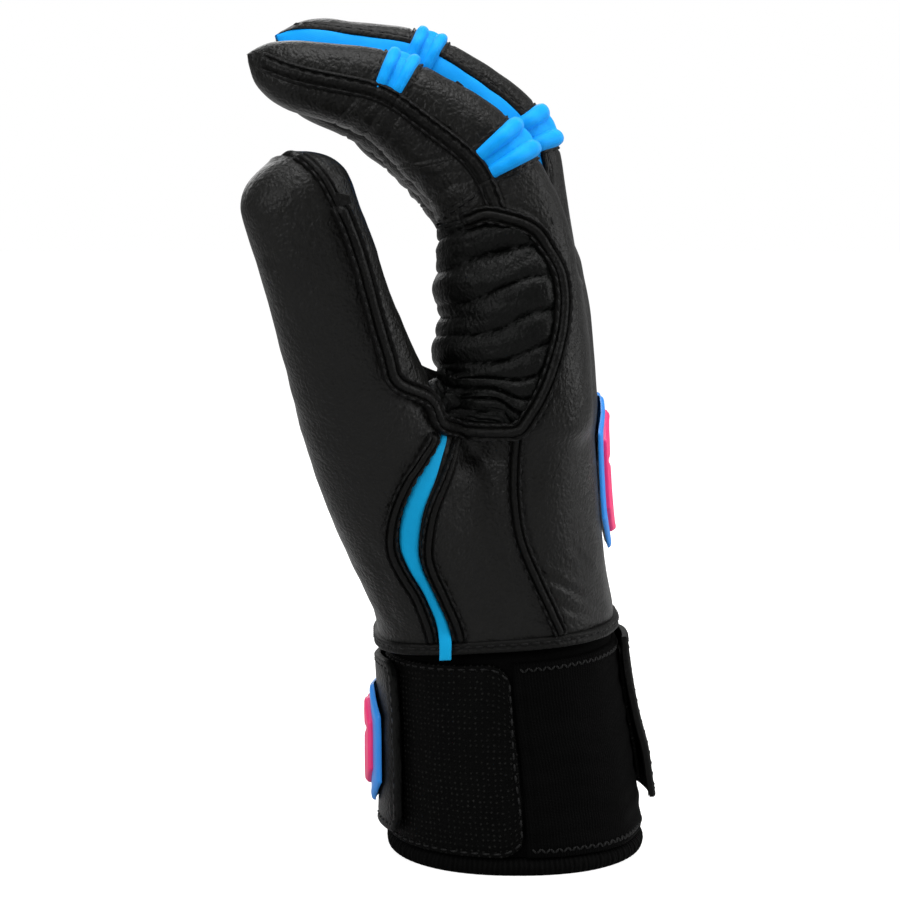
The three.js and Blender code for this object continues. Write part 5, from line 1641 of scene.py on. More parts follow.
    def hem(self) -> None:
        """The turned lower edge of the leather, with one row of stitches."""
        turns = np.radians(np.linspace(0, 360, 97))[None]
        heights = np.linspace(HEM_BASE - 0.4, HEM_BASE + HEM_BAND, 3)[:, None]
        origin = palm_axis(np.broadcast_to(heights, (3, 97)))
        ways = np.stack(np.broadcast_arrays(np.cos(turns), np.sin(turns), 0 * turns), -1)
        rows, columns = np.linspace(0, 2, 13), np.linspace(0, 96, 577)
        points = ringed(lean(refine(ringed(cast(origin, ways)), rows=rows, columns=columns)))
        v = np.linspace(0, 1, 13)[:, None]
        lift = 0.6 + 0.4 * np.sin(np.pi * np.clip(v, 0.03, 0.97)) ** 0.5
        lift = ringed(lift + ripple(points, 6, 0.1, 6))
        sheet = Sheet(1.2, EdgeFinish(roll=0.5, drop=0.4, puff=0, groove=1.5, sink=0.4)).add(points, lift)
        self.shop.fit("hem_turning", sheet, "seam_leather", "hem_band", slot="leather")
        self.shop.sew("hand", sheet.grids[0], "high", 1.45)

    def build(self) -> None:
        """Makes every piece of the thumb side."""
        self.thumb()
        self.strips()
        self.web()
        self.web_edge()
        self.hem()


def smooth_line(line: Array, rounds: int) -> Array:
    """A line whose points are moved towards the mean of their neighbours, its ends kept."""
    made = line.copy()
    for _ in range(rounds):
        made[1:-1] = (made[:-2] + 2 * made[1:-1] + made[2:]) / 4
    return made


def end_row(limb: Limb, turns: Array) -> Array:
    """The folded edge at a tip: points between the two ends of the last row, a little further along."""
    wall = limb.point(limb.length, turns)
    first, last = wall[0], wall[-1]
    reach = ((wall - first) @ (last - first)) / ((last - first) @ (last - first))
    across = np.linspace(-1, 1, len(wall))[:, None]
    return first + (last - first) * reach[:, None] + limb.along[-1] * TIP_FOLD * (1 - across**2)


LANE_SHARES = shares(21.0, 0.85)
LANE_COLUMNS = np.concatenate([(k + LANE_SHARES[1 if k else 0:]) * COLUMNS for k in range(4)])
CROTCH_RUN = CROTCH_HEIGHT - ROOT_HEIGHT


@dataclass
class Hand:
    """The two large cuts of leather: the back with the backs of the fingers, the palm with their fronts."""

    shop: Workshop

    CREASES = Side.CREASES

    def body(self, heights: Array, first: Array, to_back: bool) -> Array:
        """The fine grid of a panel below the crotches, all four lanes wide."""
        share = np.linspace(0, 1, COLUMNS + 1)
        lanes = [first] + [body_spot(k, heights[:, None], share[None], to_back)[:, 1:] for k in (1, 2, 3)]
        coarse = np.concatenate(lanes, 1)
        return lean(refine(coarse, rows=places(coarse, 0, 0.85), columns=LANE_COLUMNS))

    def top(self, body: Array, k: int, turns: Callable[[Array, Array], Array], rows: Array) -> Array:
        """A finger's leather from the crotch to the knuckle.

        Args:
            body: the panel's grid below, whose last row it joins smoothly.
            k: the finger's lane.
            turns: its turns by run and share.
            rows: shares of the way up.

        Returns:
            A grid of points.
        """
        finger, rows, count = FINGERS[k], rows[:, None], len(LANE_SHARES) - 1
        last = body[-1, k * count:(k + 1) * count + 1]
        middle = CROTCH_RUN + (finger.knuckle - CROTCH_RUN) * rows + 0 * LANE_SHARES
        guess = turns(middle, LANE_SHARES[None])
        run = CROTCH_RUN + (joint_edge(finger, "knuckle", guess, False) - CROTCH_RUN) * rows
        points = finger.limb.point(run, turns(run, LANE_SHARES[None]))
        points = points + (last - points[0])[None] * (1 - ease(rows, 0, 0.7))[..., None]
        points[0] = last
        return points

    def back(self) -> None:
        """The back panel."""
        lower = np.linspace(HEM_BASE, GUSSET_BOTTOM, 14)
        upper = np.linspace(GUSSET_BOTTOM, CROTCH_HEIGHT, 12)[1:]
        heights = np.concatenate([lower, upper])
        near = np.concatenate([side_point("back_front", lower), index_spot(upper, gusset_turn(upper))])

        def pivot(height: Array) -> Array:
            """The axis that the back's rows are cast from."""
            start = palm_axis(height)
            start[..., 1] = LANE_EDGES[1]
            share = ease(height, MORPH_START, CROTCH_HEIGHT)[..., None]
            return start + (index_axis(height) - start) * share

        far = body_spot(0, heights, np.ones(len(heights)), True)
        body = self.body(heights, cast_rows(pivot, near, far, COLUMNS), True)
        sheet = Sheet(edge=STITCHED).add(body, creased(body, self.CREASES, 28, 0.35, 21))
        for k, finger in enumerate(FINGERS):

            def turns(run: Array, share: Array, finger: Finger = finger) -> Array:
                """The back leather's turns on a finger."""
                turn = leather_turn(finger, run, True, share)
                if finger is not INDEX:
                    return turn
                height = finger.limb.read("centre", run)[..., 2]
                start = gusset_turn(np.minimum(height, GUSSET_TOP))
                lower = start + (edge_turn(finger, run) - start) * share
                return np.where(height > GUSSET_TOP, turn, lower)

            rows = shares(22, 0.85, False, True)
            points = self.top(body, k, turns, rows)
            sheet.add(points, creased(points, self.CREASES, 28, 0.35, 21))
        self.shop.fit("back_leather", sheet, "leather", "back_panel")
        for k, grid in enumerate(sheet.grids[1:]):
            self.shop.sew("hand", grid, "high", 1.9, (1.2, 1.2))
            self.shop.sew("hand", grid, ("last", "first last", "first last", "first")[k], 2.1, (0, 2.0))

    def palm(self) -> None:
        """The palm panel, with the flap that wraps round the index finger over the web."""
        lower = np.linspace(HEM_BASE, MORPH_START, 16)
        heights = np.concatenate([lower, np.linspace(MORPH_START, CROTCH_HEIGHT, 10)[1:]])
        near = thenar_point(heights)
        far = body_spot(0, heights, np.ones(len(heights)), False)
        share = np.linspace(0, 1, COLUMNS + 1)[None, :, None]
        first = settle(near[:, None] + (far - near)[:, None] * share)
        first[:, 0], first[:, -1] = near, far
        body = self.body(heights, first, False)
        sheet = Sheet(edge=STITCHED).add(body, self.worn(body))
        start = joint_edge(INDEX, "knuckle", np.array(FOLD_TURN), False)
        seam = float((gusset_top_run(FOLD_TURN) - CROTCH_RUN) / (start - CROTCH_RUN))
        upper = np.linspace(0, 1, 8)
        for k, finger in enumerate(FINGERS):

            def turns(run: Array, at: Array, finger: Finger = finger) -> Array:
                """The palm leather's turns on a finger."""
                if finger is not INDEX:
                    return leather_turn(finger, run, False, at)
                return FOLD_TURN + (leather_turn(finger, run, False, 1.0) - FOLD_TURN) * at

            rows = shares(22, 0.85, False, True)
            if finger is INDEX:
                rows = np.concatenate([np.linspace(0, seam, 22)[:-1], seam + (1 - seam) * upper])
            points = self.top(body, k, turns, rows)
            sheet.add(points, self.worn(points))
        wrap_turns = -90 + (FOLD_TURN + 90) * shares(26, 0.8)[None]
        low = gusset_top_run(wrap_turns)
        high = joint_edge(INDEX, "knuckle", wrap_turns, False)
        wrap = INDEX.limb.point(low + (high - low) * upper[:, None], wrap_turns)
        wrap[:, -1] = sheet.grids[1].points[-len(upper):, 0]
        sheet.add(wrap, self.worn(wrap))
        self.shop.fit("palm_leather", sheet, "leather", "palm_panel")
        for k, grid in enumerate(sheet.grids[1:5]):
            self.shop.sew("hand", grid, "last first" if k else "last", 2.1, (0, 2.0))
        self.shop.sew("hand", sheet.grids[5], "high", 1.9, (1.0, 0.5))
        self.shop.sew("hand", sheet.grids[0], "first", 2.1, (4, 2))

    def worn(self, points: Array) -> Array:
        """The palm's lift: swells, and shallow folds across it where the hand closes."""
        folds = np.sin(points[..., 2] * 0.55 + 1.6 * np.sin(points[..., 1] * 0.09)) * 0.16
        middle = ease(points[..., 2], 66, 84) * (1 - ease(points[..., 2], 132, 150))
        return creased(points, (), 24, 0.4, 31) + folds * middle

    def fourchettes(self) -> None:
        """The blue strips between neighbouring fingers."""
        share = np.linspace(0, 1, 5)
        for k in range(3):
            pair = FINGERS[k], FINGERS[k + 1]
            corner = k, np.array(CROTCH_HEIGHT), np.array(1.0)
            back, front = body_spot(*corner, True), body_spot(*corner, False)
            across = unit(front - back) * (LEATHER_WALL + 0.2)
            floor = (back + across) + (front - back - 2 * across) * share[:, None]
            floor[:, 1], floor[:, 2] = LANE_EDGES[k + 1], CROTCH_HEIGHT - 0.4

            def leg(finger: Finger, side: int) -> Array:
                """The strip's half on one finger, from the crotch up."""
                rows = np.array((0.1, 0.2, 0.35, 0.5, 0.75, 1.06))[:, None]
                edge = edge_turn(finger, CROTCH_RUN + (finger.knuckle - CROTCH_RUN) * rows) - 3
                turn = side * (edge + (180 - edge * 2) * share)
                run = CROTCH_RUN + (joint_edge(finger, "knuckle", turn, False) - CROTCH_RUN) * rows
                return finger.limb.point(run, turn)

            coarse = np.concatenate([leg(pair[0], 1)[::-1], floor[None], leg(pair[1], -1)])
            points = refine(coarse, 0.9)
            sheet = Sheet(FLEX_WALL, BUTTED).add(points, -0.5 + ripple(points, 8, 0.15, k + 3))
            name = f"{pair[0].name}_{pair[1].name}_fourchette"
            self.shop.fit(f"{name}_knit", sheet, "flex_knit", name)

    def patch(self, name: str, points: Array) -> None:
        """A small piece of leather that lies under the corner where panels meet."""
        sheet = Sheet(0.8, CUT).add(settle(points), -0.4)
        self.shop.fit(name, sheet, "leather")

    def patches(self) -> None:
        """The patches at the foot of each crotch and in the corner of the thumb's fork."""
        height = np.linspace(MORPH_START + 5, CROTCH_HEIGHT + 1.5, 34)[:, None]
        across = np.linspace(0, 1, 9)[None, :, None]
        for k in range(3):
            for number, to_back in enumerate((True, False)):
                near = body_spot(k, height, np.array(0.86), to_back)
                far = body_spot(k + 1, height, np.array(0.14), to_back)
                self.patch(f"crotch_patch_{2 * k + number}", near + (far - near) * across)
        tip = THUMB.point(THUMB_START, THUMB_FAR)
        low = thenar_point(np.array(GUSSET_BOTTOM + SEAM_STEP * 2))
        high = Side(self.shop).fork_row()[-1]
        along = np.linspace(-0.05, 1.1, 24)[:, None, None]
        across = np.linspace(-0.4, 1.4, 14)[None, :, None]
        foot = low + (high - low) * across
        self.patch("fork_patch", foot + (tip - foot) * along)

    def build(self) -> None:
        """Makes the panels, the strips between the fingers and the patches."""
        self.back()
        self.palm()
        self.fourchettes()
        self.patches()


@dataclass
class Digit:
    """A finger past its knuckle: leather shells, blue flex knuckles, side strips, folds and seams."""

    shop: Workshop
    finger: Finger
    ridge: float = 1.9
    fold: float = 0.6

    # The vent slits are painted shadow: each is a black lens standing in for the shade inside a slit.
    VENTS = (("upper_vent_shadow", "index_middle", (-14.5, 189.6)), ("lower_vent_shadow", "hand", (6.8, 157.6)))

    @property
    def sides(self) -> tuple[float, float]:
        """The turns of the back leather's two edges."""
        near = -90.0 if self.finger is INDEX else -STRIP_TURN
        return near, 90.0 if self.finger is LITTLE else STRIP_TURN

    def shell(self, part: str, side: str, first: float, last: float) -> None:
        """One cut of leather past the knuckle, with stitches along its finished edges.

        Args:
            part: middle or tip.
            side: back or front.
            first: the turn of its first edge.
            last: the turn of its last edge.
        """
        finger, limb = self.finger, self.finger.limb
        turns = first + (last - first) * shares(24, 0.75)[None]
        size, rounding, cap = 9, 1.0, None
        if part == "middle":
            low = joint_edge(finger, "knuckle", turns, True)
            high = joint_edge(finger, "joint", turns, False)
            run = low + (high - low) * shares(16, 0.75)[:, None]
            points = limb.point(run, turns)
        else:
            low = joint_edge(finger, "joint", turns, True)
            straight = low + (limb.length - TIP_ROUND - low) * shares(14, 0.75, True, False)[:, None]
            angles = np.radians(np.linspace(0, 90, 19)[1:])[:, None]
            closing_runs = limb.length - TIP_ROUND + TIP_ROUND * np.sin(angles) + 0 * turns
            points = limb.point(np.concatenate([straight, closing_runs]), turns)
            end = end_row(limb, turns[0])
            end = end - 0.9 * ((end - limb.centre[-1]) @ limb.back[-1])[:, None] * limb.back[-1]
            points = np.concatenate([points, end[None]])
            rounding = 1 - ease(np.arange(len(points)) / len(points), 0.6, 0.78)[:, None]
            size, cap = 12, limb
        lift = ripple(points, size, 0.22, len(finger.name) + len(side)) + ripple(points, 3.5, 0.06, 9)
        sheet = Sheet(edge=STITCHED).add(points, lift, cap=cap, finished=rounding)
        node, body = f"{finger.name}_{side}_{part}", f"{finger.name}_{part}"
        grid = self.shop.fit(f"{node}_leather", sheet, "leather", node, body)
        if side == "back":
            self.shop.sew(body, grid, "low high" if part == "middle" else "low", 1.9, (1.2, 1.2))
        for edge, turn in (("first", first), ("last", last)):
            if abs(abs(turn) - 90) > 1 and abs(abs(turn) - 270) > 1:
                self.shop.sew(body, grid, edge, 2.1, (2.1, 2.1 if part == "middle" else 5))

    def span(self, joint: str) -> Bend:
        """The two bodies beside a joint, and where the bend between them starts and ends."""
        finger = self.finger
        middle = f"{finger.name}_middle"
        bodies = ("hand", middle) if joint == "knuckle" else (middle, f"{finger.name}_tip")
        run = getattr(finger, joint)
        room = JOINT_ROOMS[joint][1]
        return bodies, (finger.limb.read("centre", run - room), finger.limb.read("centre", run + room))

    def around(self, joint: str, turns: Array, rows: Array, tuck: float) -> Array:
        """Points round a joint between its two leather edges, tucked a little under both."""
        low = joint_edge(self.finger, joint, turns, False) - tuck
        high = joint_edge(self.finger, joint, turns, True) + tuck
        return self.finger.limb.point(low + (high - low) * rows[:, None], turns)

    def bellows(self, joint: str) -> None:
        """The flex knuckle: two puffed half-round ridges over the back, and a flat panel between them."""
        near, far = self.sides
        turns = np.linspace(-180 - near, 180 - far, 121)[None]
        rows = np.linspace(0, 1, 61)
        points = self.around(joint, turns, rows, 1.2)
        v, turn = rows[:, None], turns + 0 * rows[:, None]
        scale = self.ridge * (1.0 if joint == "knuckle" else 0.8)

        def dome(middle: float, reach: float) -> Array:
            """A half-round swell across the rows."""
            return np.sqrt(np.clip(1 - ((v - middle) / reach) ** 2, 0, 1))

        ridges = np.maximum(dome(0.24, 0.165), dome(0.76, 0.165))
        panel = 0.8 * np.exp(-((turn / 13) ** 2)) * dome(0.5, 0.3) - 0.12
        inner = np.clip((0.5 - np.abs(v - 0.5) - 0.08) / 0.05, 0, 1)
        profile = np.maximum(ridges * (1 + 0.12 * np.sin(turn * 0.21)), panel * inner)
        fade = 1 - ease(np.abs(turn), 62, 98)
        lift = -0.5 * (1 - inner) + fade * scale * profile + ripple(points, 2.6, 0.09, 17) * inner
        sheet = Sheet(FLEX_WALL, CUT).add(points, lift)
        node = f"{self.finger.name}_{joint}_flex"
        self.shop.fit(f"{node}_knit", sheet, "flex_knit", node, bend=self.span(joint))

    def strips(self, part: str) -> None:
        """The blue strips along the sides that face a neighbour."""
        finger, limb = self.finger, self.finger.limb
        body = f"{finger.name}_{part}"
        for number, edge in enumerate(self.sides):
            if abs(edge) == 90:
                continue
            sign = math.copysign(1, edge)
            turns = sign * np.linspace(STRIP_TURN - 3, 183 - STRIP_TURN, 22)[None]
            joint = "knuckle" if part == "middle" else "joint"
            low = joint_edge(finger, joint, turns, True) - 0.6
            if part == "middle":
                high = joint_edge(finger, "joint", turns, False) + 0.6
            else:
                high = np.full(turns.shape, limb.length)
            run = low + (high - low) * np.linspace(0, 1, 34)[:, None]
            points = limb.point(run, turns)
            if part == "tip":
                end = points[-1].mean(0) + limb.along[-1] * TIP_FOLD
                points = np.concatenate([points, (points[-1] * 0.1 + end * 0.9)[None]])
            lift = -0.45 + ripple(points, 6, 0.12, number + 5)
            sheet = Sheet(FLEX_WALL, CUT).add(points, lift)
            self.shop.fit(f"{body}_side_knit_{number}", sheet, "flex_knit", body=body)

    def folds(self, joint: str) -> None:
        """The leather on the palm side of a joint, pressed into three soft folds."""
        near, far = self.sides
        first, last = 180 - far, 180 - near
        turns = np.linspace(first, last, 61)[None]
        rows = np.linspace(0, 1, 61)
        points = self.around(joint, turns, rows, 2.2)
        v, u = rows[:, None], (turns - first) / (last - first)
        wander = 0.09 * np.sin(4 * u + 2 + 3 * v) + 0.05 * np.sin(11 * u + 5 * v) + 0.02 * np.sin(29 * u)
        waves = np.abs(np.sin(2.6 * np.pi * (v + wander * np.sin(np.pi * v)))) ** 0.6
        waves = waves * (0.75 + 0.25 * np.sin(9 * u + 7 * v)) + 0.12 * np.abs(np.sin(17 * v + 6 * u))
        inner = np.clip((0.5 - np.abs(v - 0.5) - 0.02) / 0.06, 0, 1)
        calm = np.clip((0.5 - np.abs(v - 0.5) - 0.1) / 0.12, 0, 1)
        lift = 0.12 - 0.8 * (1 - inner) + self.fold * (1.1 * waves - 0.4) * np.sin(np.pi * u) * calm
        lift = lift + ripple(points, 4, 0.08, 19) * inner
        sheet = Sheet(edge=CUT).add(points, lift)
        node = f"{self.finger.name}_{joint}_fold"
        self.shop.fit(f"{node}_leather", sheet, "leather", node, bend=self.span(joint))

    def seam(self, turn: float, start: float) -> None:
        """The raised, double-stitched seam along an outer side, cut where the finger bends."""
        finger, limb = self.finger, self.finger.limb
        sign = math.copysign(1, turn)
        knuckle, joint = (
            [float(joint_edge(finger, name, np.array(turn), above)) for above in (False, True)]
            for name in ("knuckle", "joint")
        )
        pieces = (
            ("root", "hand", start, knuckle[0]),
            ("knuckle", "", *knuckle),
            ("middle", f"{finger.name}_middle", knuckle[1], joint[0]),
            ("joint", "", *joint),
            ("tip", f"{finger.name}_tip", joint[1], limb.length - 1.4),
        )
        across = np.linspace(-1, 1, 15)
        for part, body, low, high in pieces:
            runs = np.arange(low - 0.35, high + 0.35, 0.6)[:, None]
            narrow = 1 - ((runs - limb.length + 4) / 4.4) ** 3 * (runs > limb.length - 4)
            half = 2.3 * np.sqrt(np.clip(narrow, 0.25, 1))
            share = np.clip(2 * np.abs(across * half) / limb.read("depth", runs), 0, 1)
            share = share ** (limb.roundness / 2)
            points = limb.point(runs, turn - sign * np.sign(across) * np.degrees(np.arcsin(share)))
            fade = 1 - ease(runs, limb.length - 4.5, limb.length - 1.2)
            lift = (0.9 + 0.85 * trend(WELT_SHARES, across)[None]) * fade - 0.6
            lift = lift + ripple(points, 4, 0.07, 23)
            sheet = Sheet(1.0, EdgeFinish(roll=0.4, drop=0.3, puff=0))
            sheet.add(points, lift, cap=limb if part == "tip" else None)
            name = f"{finger.name}_seam_{part}"
            if body:
                self.shop.fit(name, sheet, "seam_leather", body=body)
                self.shop.sew(body, sheet.grids[0], "first last", 1.15, (0, 4.0 if part == "tip" else 0))
            else:
                self.shop.fit(name, sheet, "seam_leather", bend=self.span(part))

    def vent(self, name: str, body: str, spot: tuple[float, float]) -> None:
        """A vent slit drawn as painted shadow: a small black lens raised on the leather stands in for the
        shade inside the slit.

        Args:
            name: the piece's name.
            body: the body that carries it.
            spot: its place along X and Z, as seen from the thumb side.
        """
        limb = self.finger.limb
        runs, turns = np.linspace(20, self.finger.joint, 160), np.linspace(-88, -5, 90)
        run, turn = np.meshgrid(runs, turns, indexing="ij")
        wall = limb.point(run, turn)
        k = np.unravel_index(np.hypot(wall[..., 0] - spot[0], wall[..., 2] - spot[1]).argmin(), run.shape)
        face, along = limb.facing(run[k], turn[k]), limb.read("along", run[k])
        u, v = np.meshgrid(np.linspace(-1, 1, 13), np.linspace(-1, 1, 7), indexing="ij")
        narrow = np.sqrt(np.maximum(1 - u**2, 0.02))
        middle = settle(wall[k][None])[0]
        points = middle + along * (1.1 * u)[..., None]
        points = points + np.cross(face, along) * (0.45 * v * narrow)[..., None]
        sheet = Sheet(0.7, CUT).add(points, 0.3, inside=middle - face * 9)
        # The black thread material paints the slit's shadow.
        self.shop.fit(name, sheet, "thread", body=body)

    def build(self) -> None:
        """Makes every piece of the finger past its knuckle."""
        near, far = self.sides
        for part in ("middle", "tip"):
            self.shell(part, "back", near, far)
            self.shell(part, "front", 180 - far, 180 - near)
            self.strips(part)
        for joint in ("knuckle", "joint"):
            self.bellows(joint)
            self.folds(joint)
        if near == -90:
            self.seam(-90.0, float(gusset_top_run(-90.0)) + 0.6)
            for name, body, spot in self.VENTS:
                self.vent(name, body, spot)
        if far == 90:
            self.seam(90.0, CROTCH_RUN + 4)


def cuff_spot(height: Real, turn: Real) -> Array:
    """Places on the cuff by height and turn; near the hem the rows tilt as the hem does."""
    height, turn = np.broadcast_arrays(np.asarray(height, float), np.asarray(turn, float))
    spot = CUFF.point(CUFF.run_at(height), turn)
    tilt = HEM_RISE * (spot[..., 0] + HEM_REACH / 2) / HEM_REACH
    spot[..., 2] = height + tilt * ease(height, HEM_BASE / 2, HEM_BASE)
    return spot


def rounded(
    turns: Array, low: float, high: float, rows: Array, corner: float, first: bool, last: bool,
) -> Array:
    """Cuff places between two heights and two turns, with round corners at the named ends.

    A corner of radius r takes r - sqrt(r^2 - (r - d)^2) off both heights at distance d from the end.

    Args:
        turns: the turn of each column.
        low: the lower height.
        high: the upper height.
        rows: shares of the way up.
        corner: the corners' radius.
        first: whether the corners at the first turn are round.
        last: whether those at the last turn are.

    Returns:
        A grid of points.
    """
    reach = np.abs(turns - turns[0]) * CUFF_DEPTH / 2 * math.pi / 180
    cut = np.zeros(len(turns))
    for there, distance in ((first, reach), (last, reach[-1] - reach)):
        if there:
            gap = np.clip(corner - distance, 0, corner)
            cut = np.maximum(cut, corner - np.sqrt(corner**2 - gap**2))
    height = low + cut + (high - low - 2 * cut) * rows[:, None]
    return cuff_spot(height, turns[None])


@dataclass
class Cuff:
    """The cuff: sleeve, rolled binding, elastic wrap, landing patch, and the two strap ends."""

    shop: Workshop
    low: float = BINDING_HEIGHT + 0.3
    high: float = 50.5
    inside: Array = field(default_factory=lambda: np.array([0.0, 0.0, 30.0]))

    SLEEVE_TOP = 51.5
    PATCH_TURNS, ELASTIC_TURNS = (-175, -88), (-87, 100)
    PALM_TURNS, PALM_HEIGHTS, PALM_PAD = (-147, -250), (7, 50), (-150, -172)
    BACK_TURNS, BACK_HEIGHTS, BACK_PAD = (-12, 80), (13, 51), (-9, 10)
    PAD_INSET = 4
    STRAP_SHARES = ((0, 1), (0.26, 1), (0.36, 0.5), (0.48, 0.15), (0.7, 0), (1, 0))

    def sleeve(self) -> None:
        """The neoprene sleeve, which runs up under the leather."""
        turns = np.linspace(0, 360, 181)[None]
        tucked = [52.6, 53.6, 56, 59, CUFF_HEIGHT]
        heights = np.concatenate([np.linspace(self.low, self.SLEEVE_TOP, 24), tucked])[:, None]
        points = ringed(cuff_spot(heights, turns))
        lift = ringed(-2 * ease(heights, self.SLEEVE_TOP, 53.6) + ripple(points, 14, 0.2, 41))
        sheet = Sheet(2.0, CUT).add(points, lift, self.inside)
        self.shop.fit("cuff_sleeve_cloth", sheet, "neoprene_jersey", "cuff_sleeve")

    def binding(self) -> None:
        """The rolled binding at the foot: a half-round roll with small upright gathers."""
        turns = np.linspace(0, 360, 1081)[None]
        v = np.linspace(0, 1, 15)[:, None]
        points = ringed(cuff_spot(v * BINDING_HEIGHT, turns))
        phase = np.radians(turns) * 96
        gathers = np.abs(np.sin(phase / 2 + 0.7 * np.sin(phase / 9) + 0.5 * v)) ** 0.7 - 0.6
        roll = np.sin(np.pi * np.clip(v, 0.02, 0.98)) ** 0.5
        lift = ringed(1.5 * roll + gathers * 0.32 * roll + ripple(points, 9, 0.12, 43) * roll)
        sheet = Sheet(BINDING_WALL, EdgeFinish(roll=0.5, drop=0.4, puff=0)).add(points, lift, self.inside)
        self.shop.fit("cuff_binding_roll", sheet, "gathered_binding", "cuff_binding")

    def wraps(self) -> None:
        """The landing patch for the hook tape, sewn along three edges with pale thread, and the elastic
        wrap.
        """
        turns = np.linspace(*self.PATCH_TURNS, 90)
        points = rounded(turns, self.low, self.high, shares(46, 0.8), 5.0, False, True)
        sheet = Sheet(1.0, EdgeFinish(roll=0.6, drop=0.5, puff=0, groove=1.4, sink=0.2))
        sheet.add(points, 1.35 + ripple(points, 15, 0.12, 45), self.inside)
        self.shop.fit("hook_patch_tape", sheet, "hook_tape", "hook_patch")
        self.shop.sew("hand", sheet.grids[0], "low high last", 1.3, (1, 1), "pale_thread")
        turns = np.linspace(*self.ELASTIC_TURNS, 190)
        points = rounded(turns, self.low, self.high, shares(46, 0.8), 3.0, False, False)
        waves = 0.14 * np.sin(points[..., 2] * 1.15 + 1.2 * np.sin(np.radians(turns)[None] * 7))
        sheet = Sheet(1.0, EdgeFinish(roll=0.8, drop=0.6, puff=0, groove=2.2, sink=0.2))
        sheet.add(points, 1.3 + waves + ripple(points, 13, 0.25, 47), self.inside)
        self.shop.fit("elastic_wrap_knit", sheet, "ribbed_elastic", "elastic_wrap")
        self.shop.zigzag("hand", sheet.grids[0], "low high", 2.2, (1.5, 1.5), 0.6)

    def palm_lift(self, turn: Array) -> Array:
        """How far the palm-side strap's outer face lies over the cuff."""
        start, end = self.PALM_TURNS
        share = (turn - start) / (end - start)
        return 1.9 + 2.3 * trend(self.STRAP_SHARES, np.clip(share, 0, 1))

    def strap(
        self, name: str, turns: Array, heights: Trim, lift: Array, corners: tuple[bool, bool], finish: str,
    ) -> None:
        """A strap's band: two layers with a line between them round the edge, and a row of stitches.

        Args:
            name: the strap's node and body.
            turns: its turns, from the free end to the root.
            heights: its lower and upper edge.
            lift: how far it lies over the cuff.
            corners: whether the corners at its first and last turn are round.
            finish: the name of its material.
        """
        low, high = heights
        points = rounded(turns, low, high, shares(high - low, 0.8), 4.0, *corners)
        sheet = Sheet(1.5, EdgeFinish(roll=0.5, drop=0.4, puff=0.08, groove=1.9, sink=0.25))
        sheet.add(points, lift + ripple(points, 12, 0.14, len(name)), self.inside)
        self.shop.fit(f"{name}_leather", sheet, finish, name, name, slot="strip_leather")
        self.shop.sew(name, sheet.grids[0], "low high first", 1.9, (2.0, 2.0))
        edge = rounded(turns[:-1], low + 0.3, high - 0.3, shares(high - low, 0.8), 4.0, *corners)
        under = Sheet(0.35, CUT).add(edge, lift[..., :-1] - 1.35, self.inside)
        self.shop.fit(f"{name}_lining", under, "loop_tape", body=name)

    def pad(self, name: str, turns: Array, heights: Trim) -> None:
        """The hook pad under a strap's free end."""
        low, high = heights[0] + self.PAD_INSET, heights[1] - self.PAD_INSET
        points = rounded(turns, low, high, shares(high - low, 1.0), 2.0, True, True)
        sheet = Sheet(0.8, CUT).add(points, 2.4, self.inside)
        self.shop.fit(f"{name}_pad_tape", sheet, "hook_tape", f"{name}_pad", name)

    def straps(self) -> None:
        """Both strap ends and their pads."""
        turns = np.linspace(*self.PALM_TURNS, 110)
        lift = self.palm_lift(turns)
        self.strap("palm_strap", turns, self.PALM_HEIGHTS, lift, (True, False), "web_leather")
        self.pad("palm_strap", np.linspace(*self.PALM_PAD, 24), self.PALM_HEIGHTS)
        (first, last), (low, high) = self.BACK_TURNS, self.BACK_HEIGHTS
        turns = np.linspace(first, last, 100)
        share = (turns - first) / (last - first)
        height = low + (high - low) * shares(high - low, 0.8)[:, None]
        corner = (1 - ease(share, 0, 0.3)) * (1 - ease(height, low, high))
        lift = 3.1 + 1.1 * trend(self.STRAP_SHARES, share) + 1.6 * corner
        self.strap("back_strap", turns, (low, high), lift, (False, False), "seam_leather")
        self.pad("back_strap", np.linspace(*self.BACK_PAD, 20), (low, high))

    def build(self) -> None:
        """Makes every piece of the cuff."""
        self.sleeve()
        self.binding()
        self.wraps()
        self.straps()


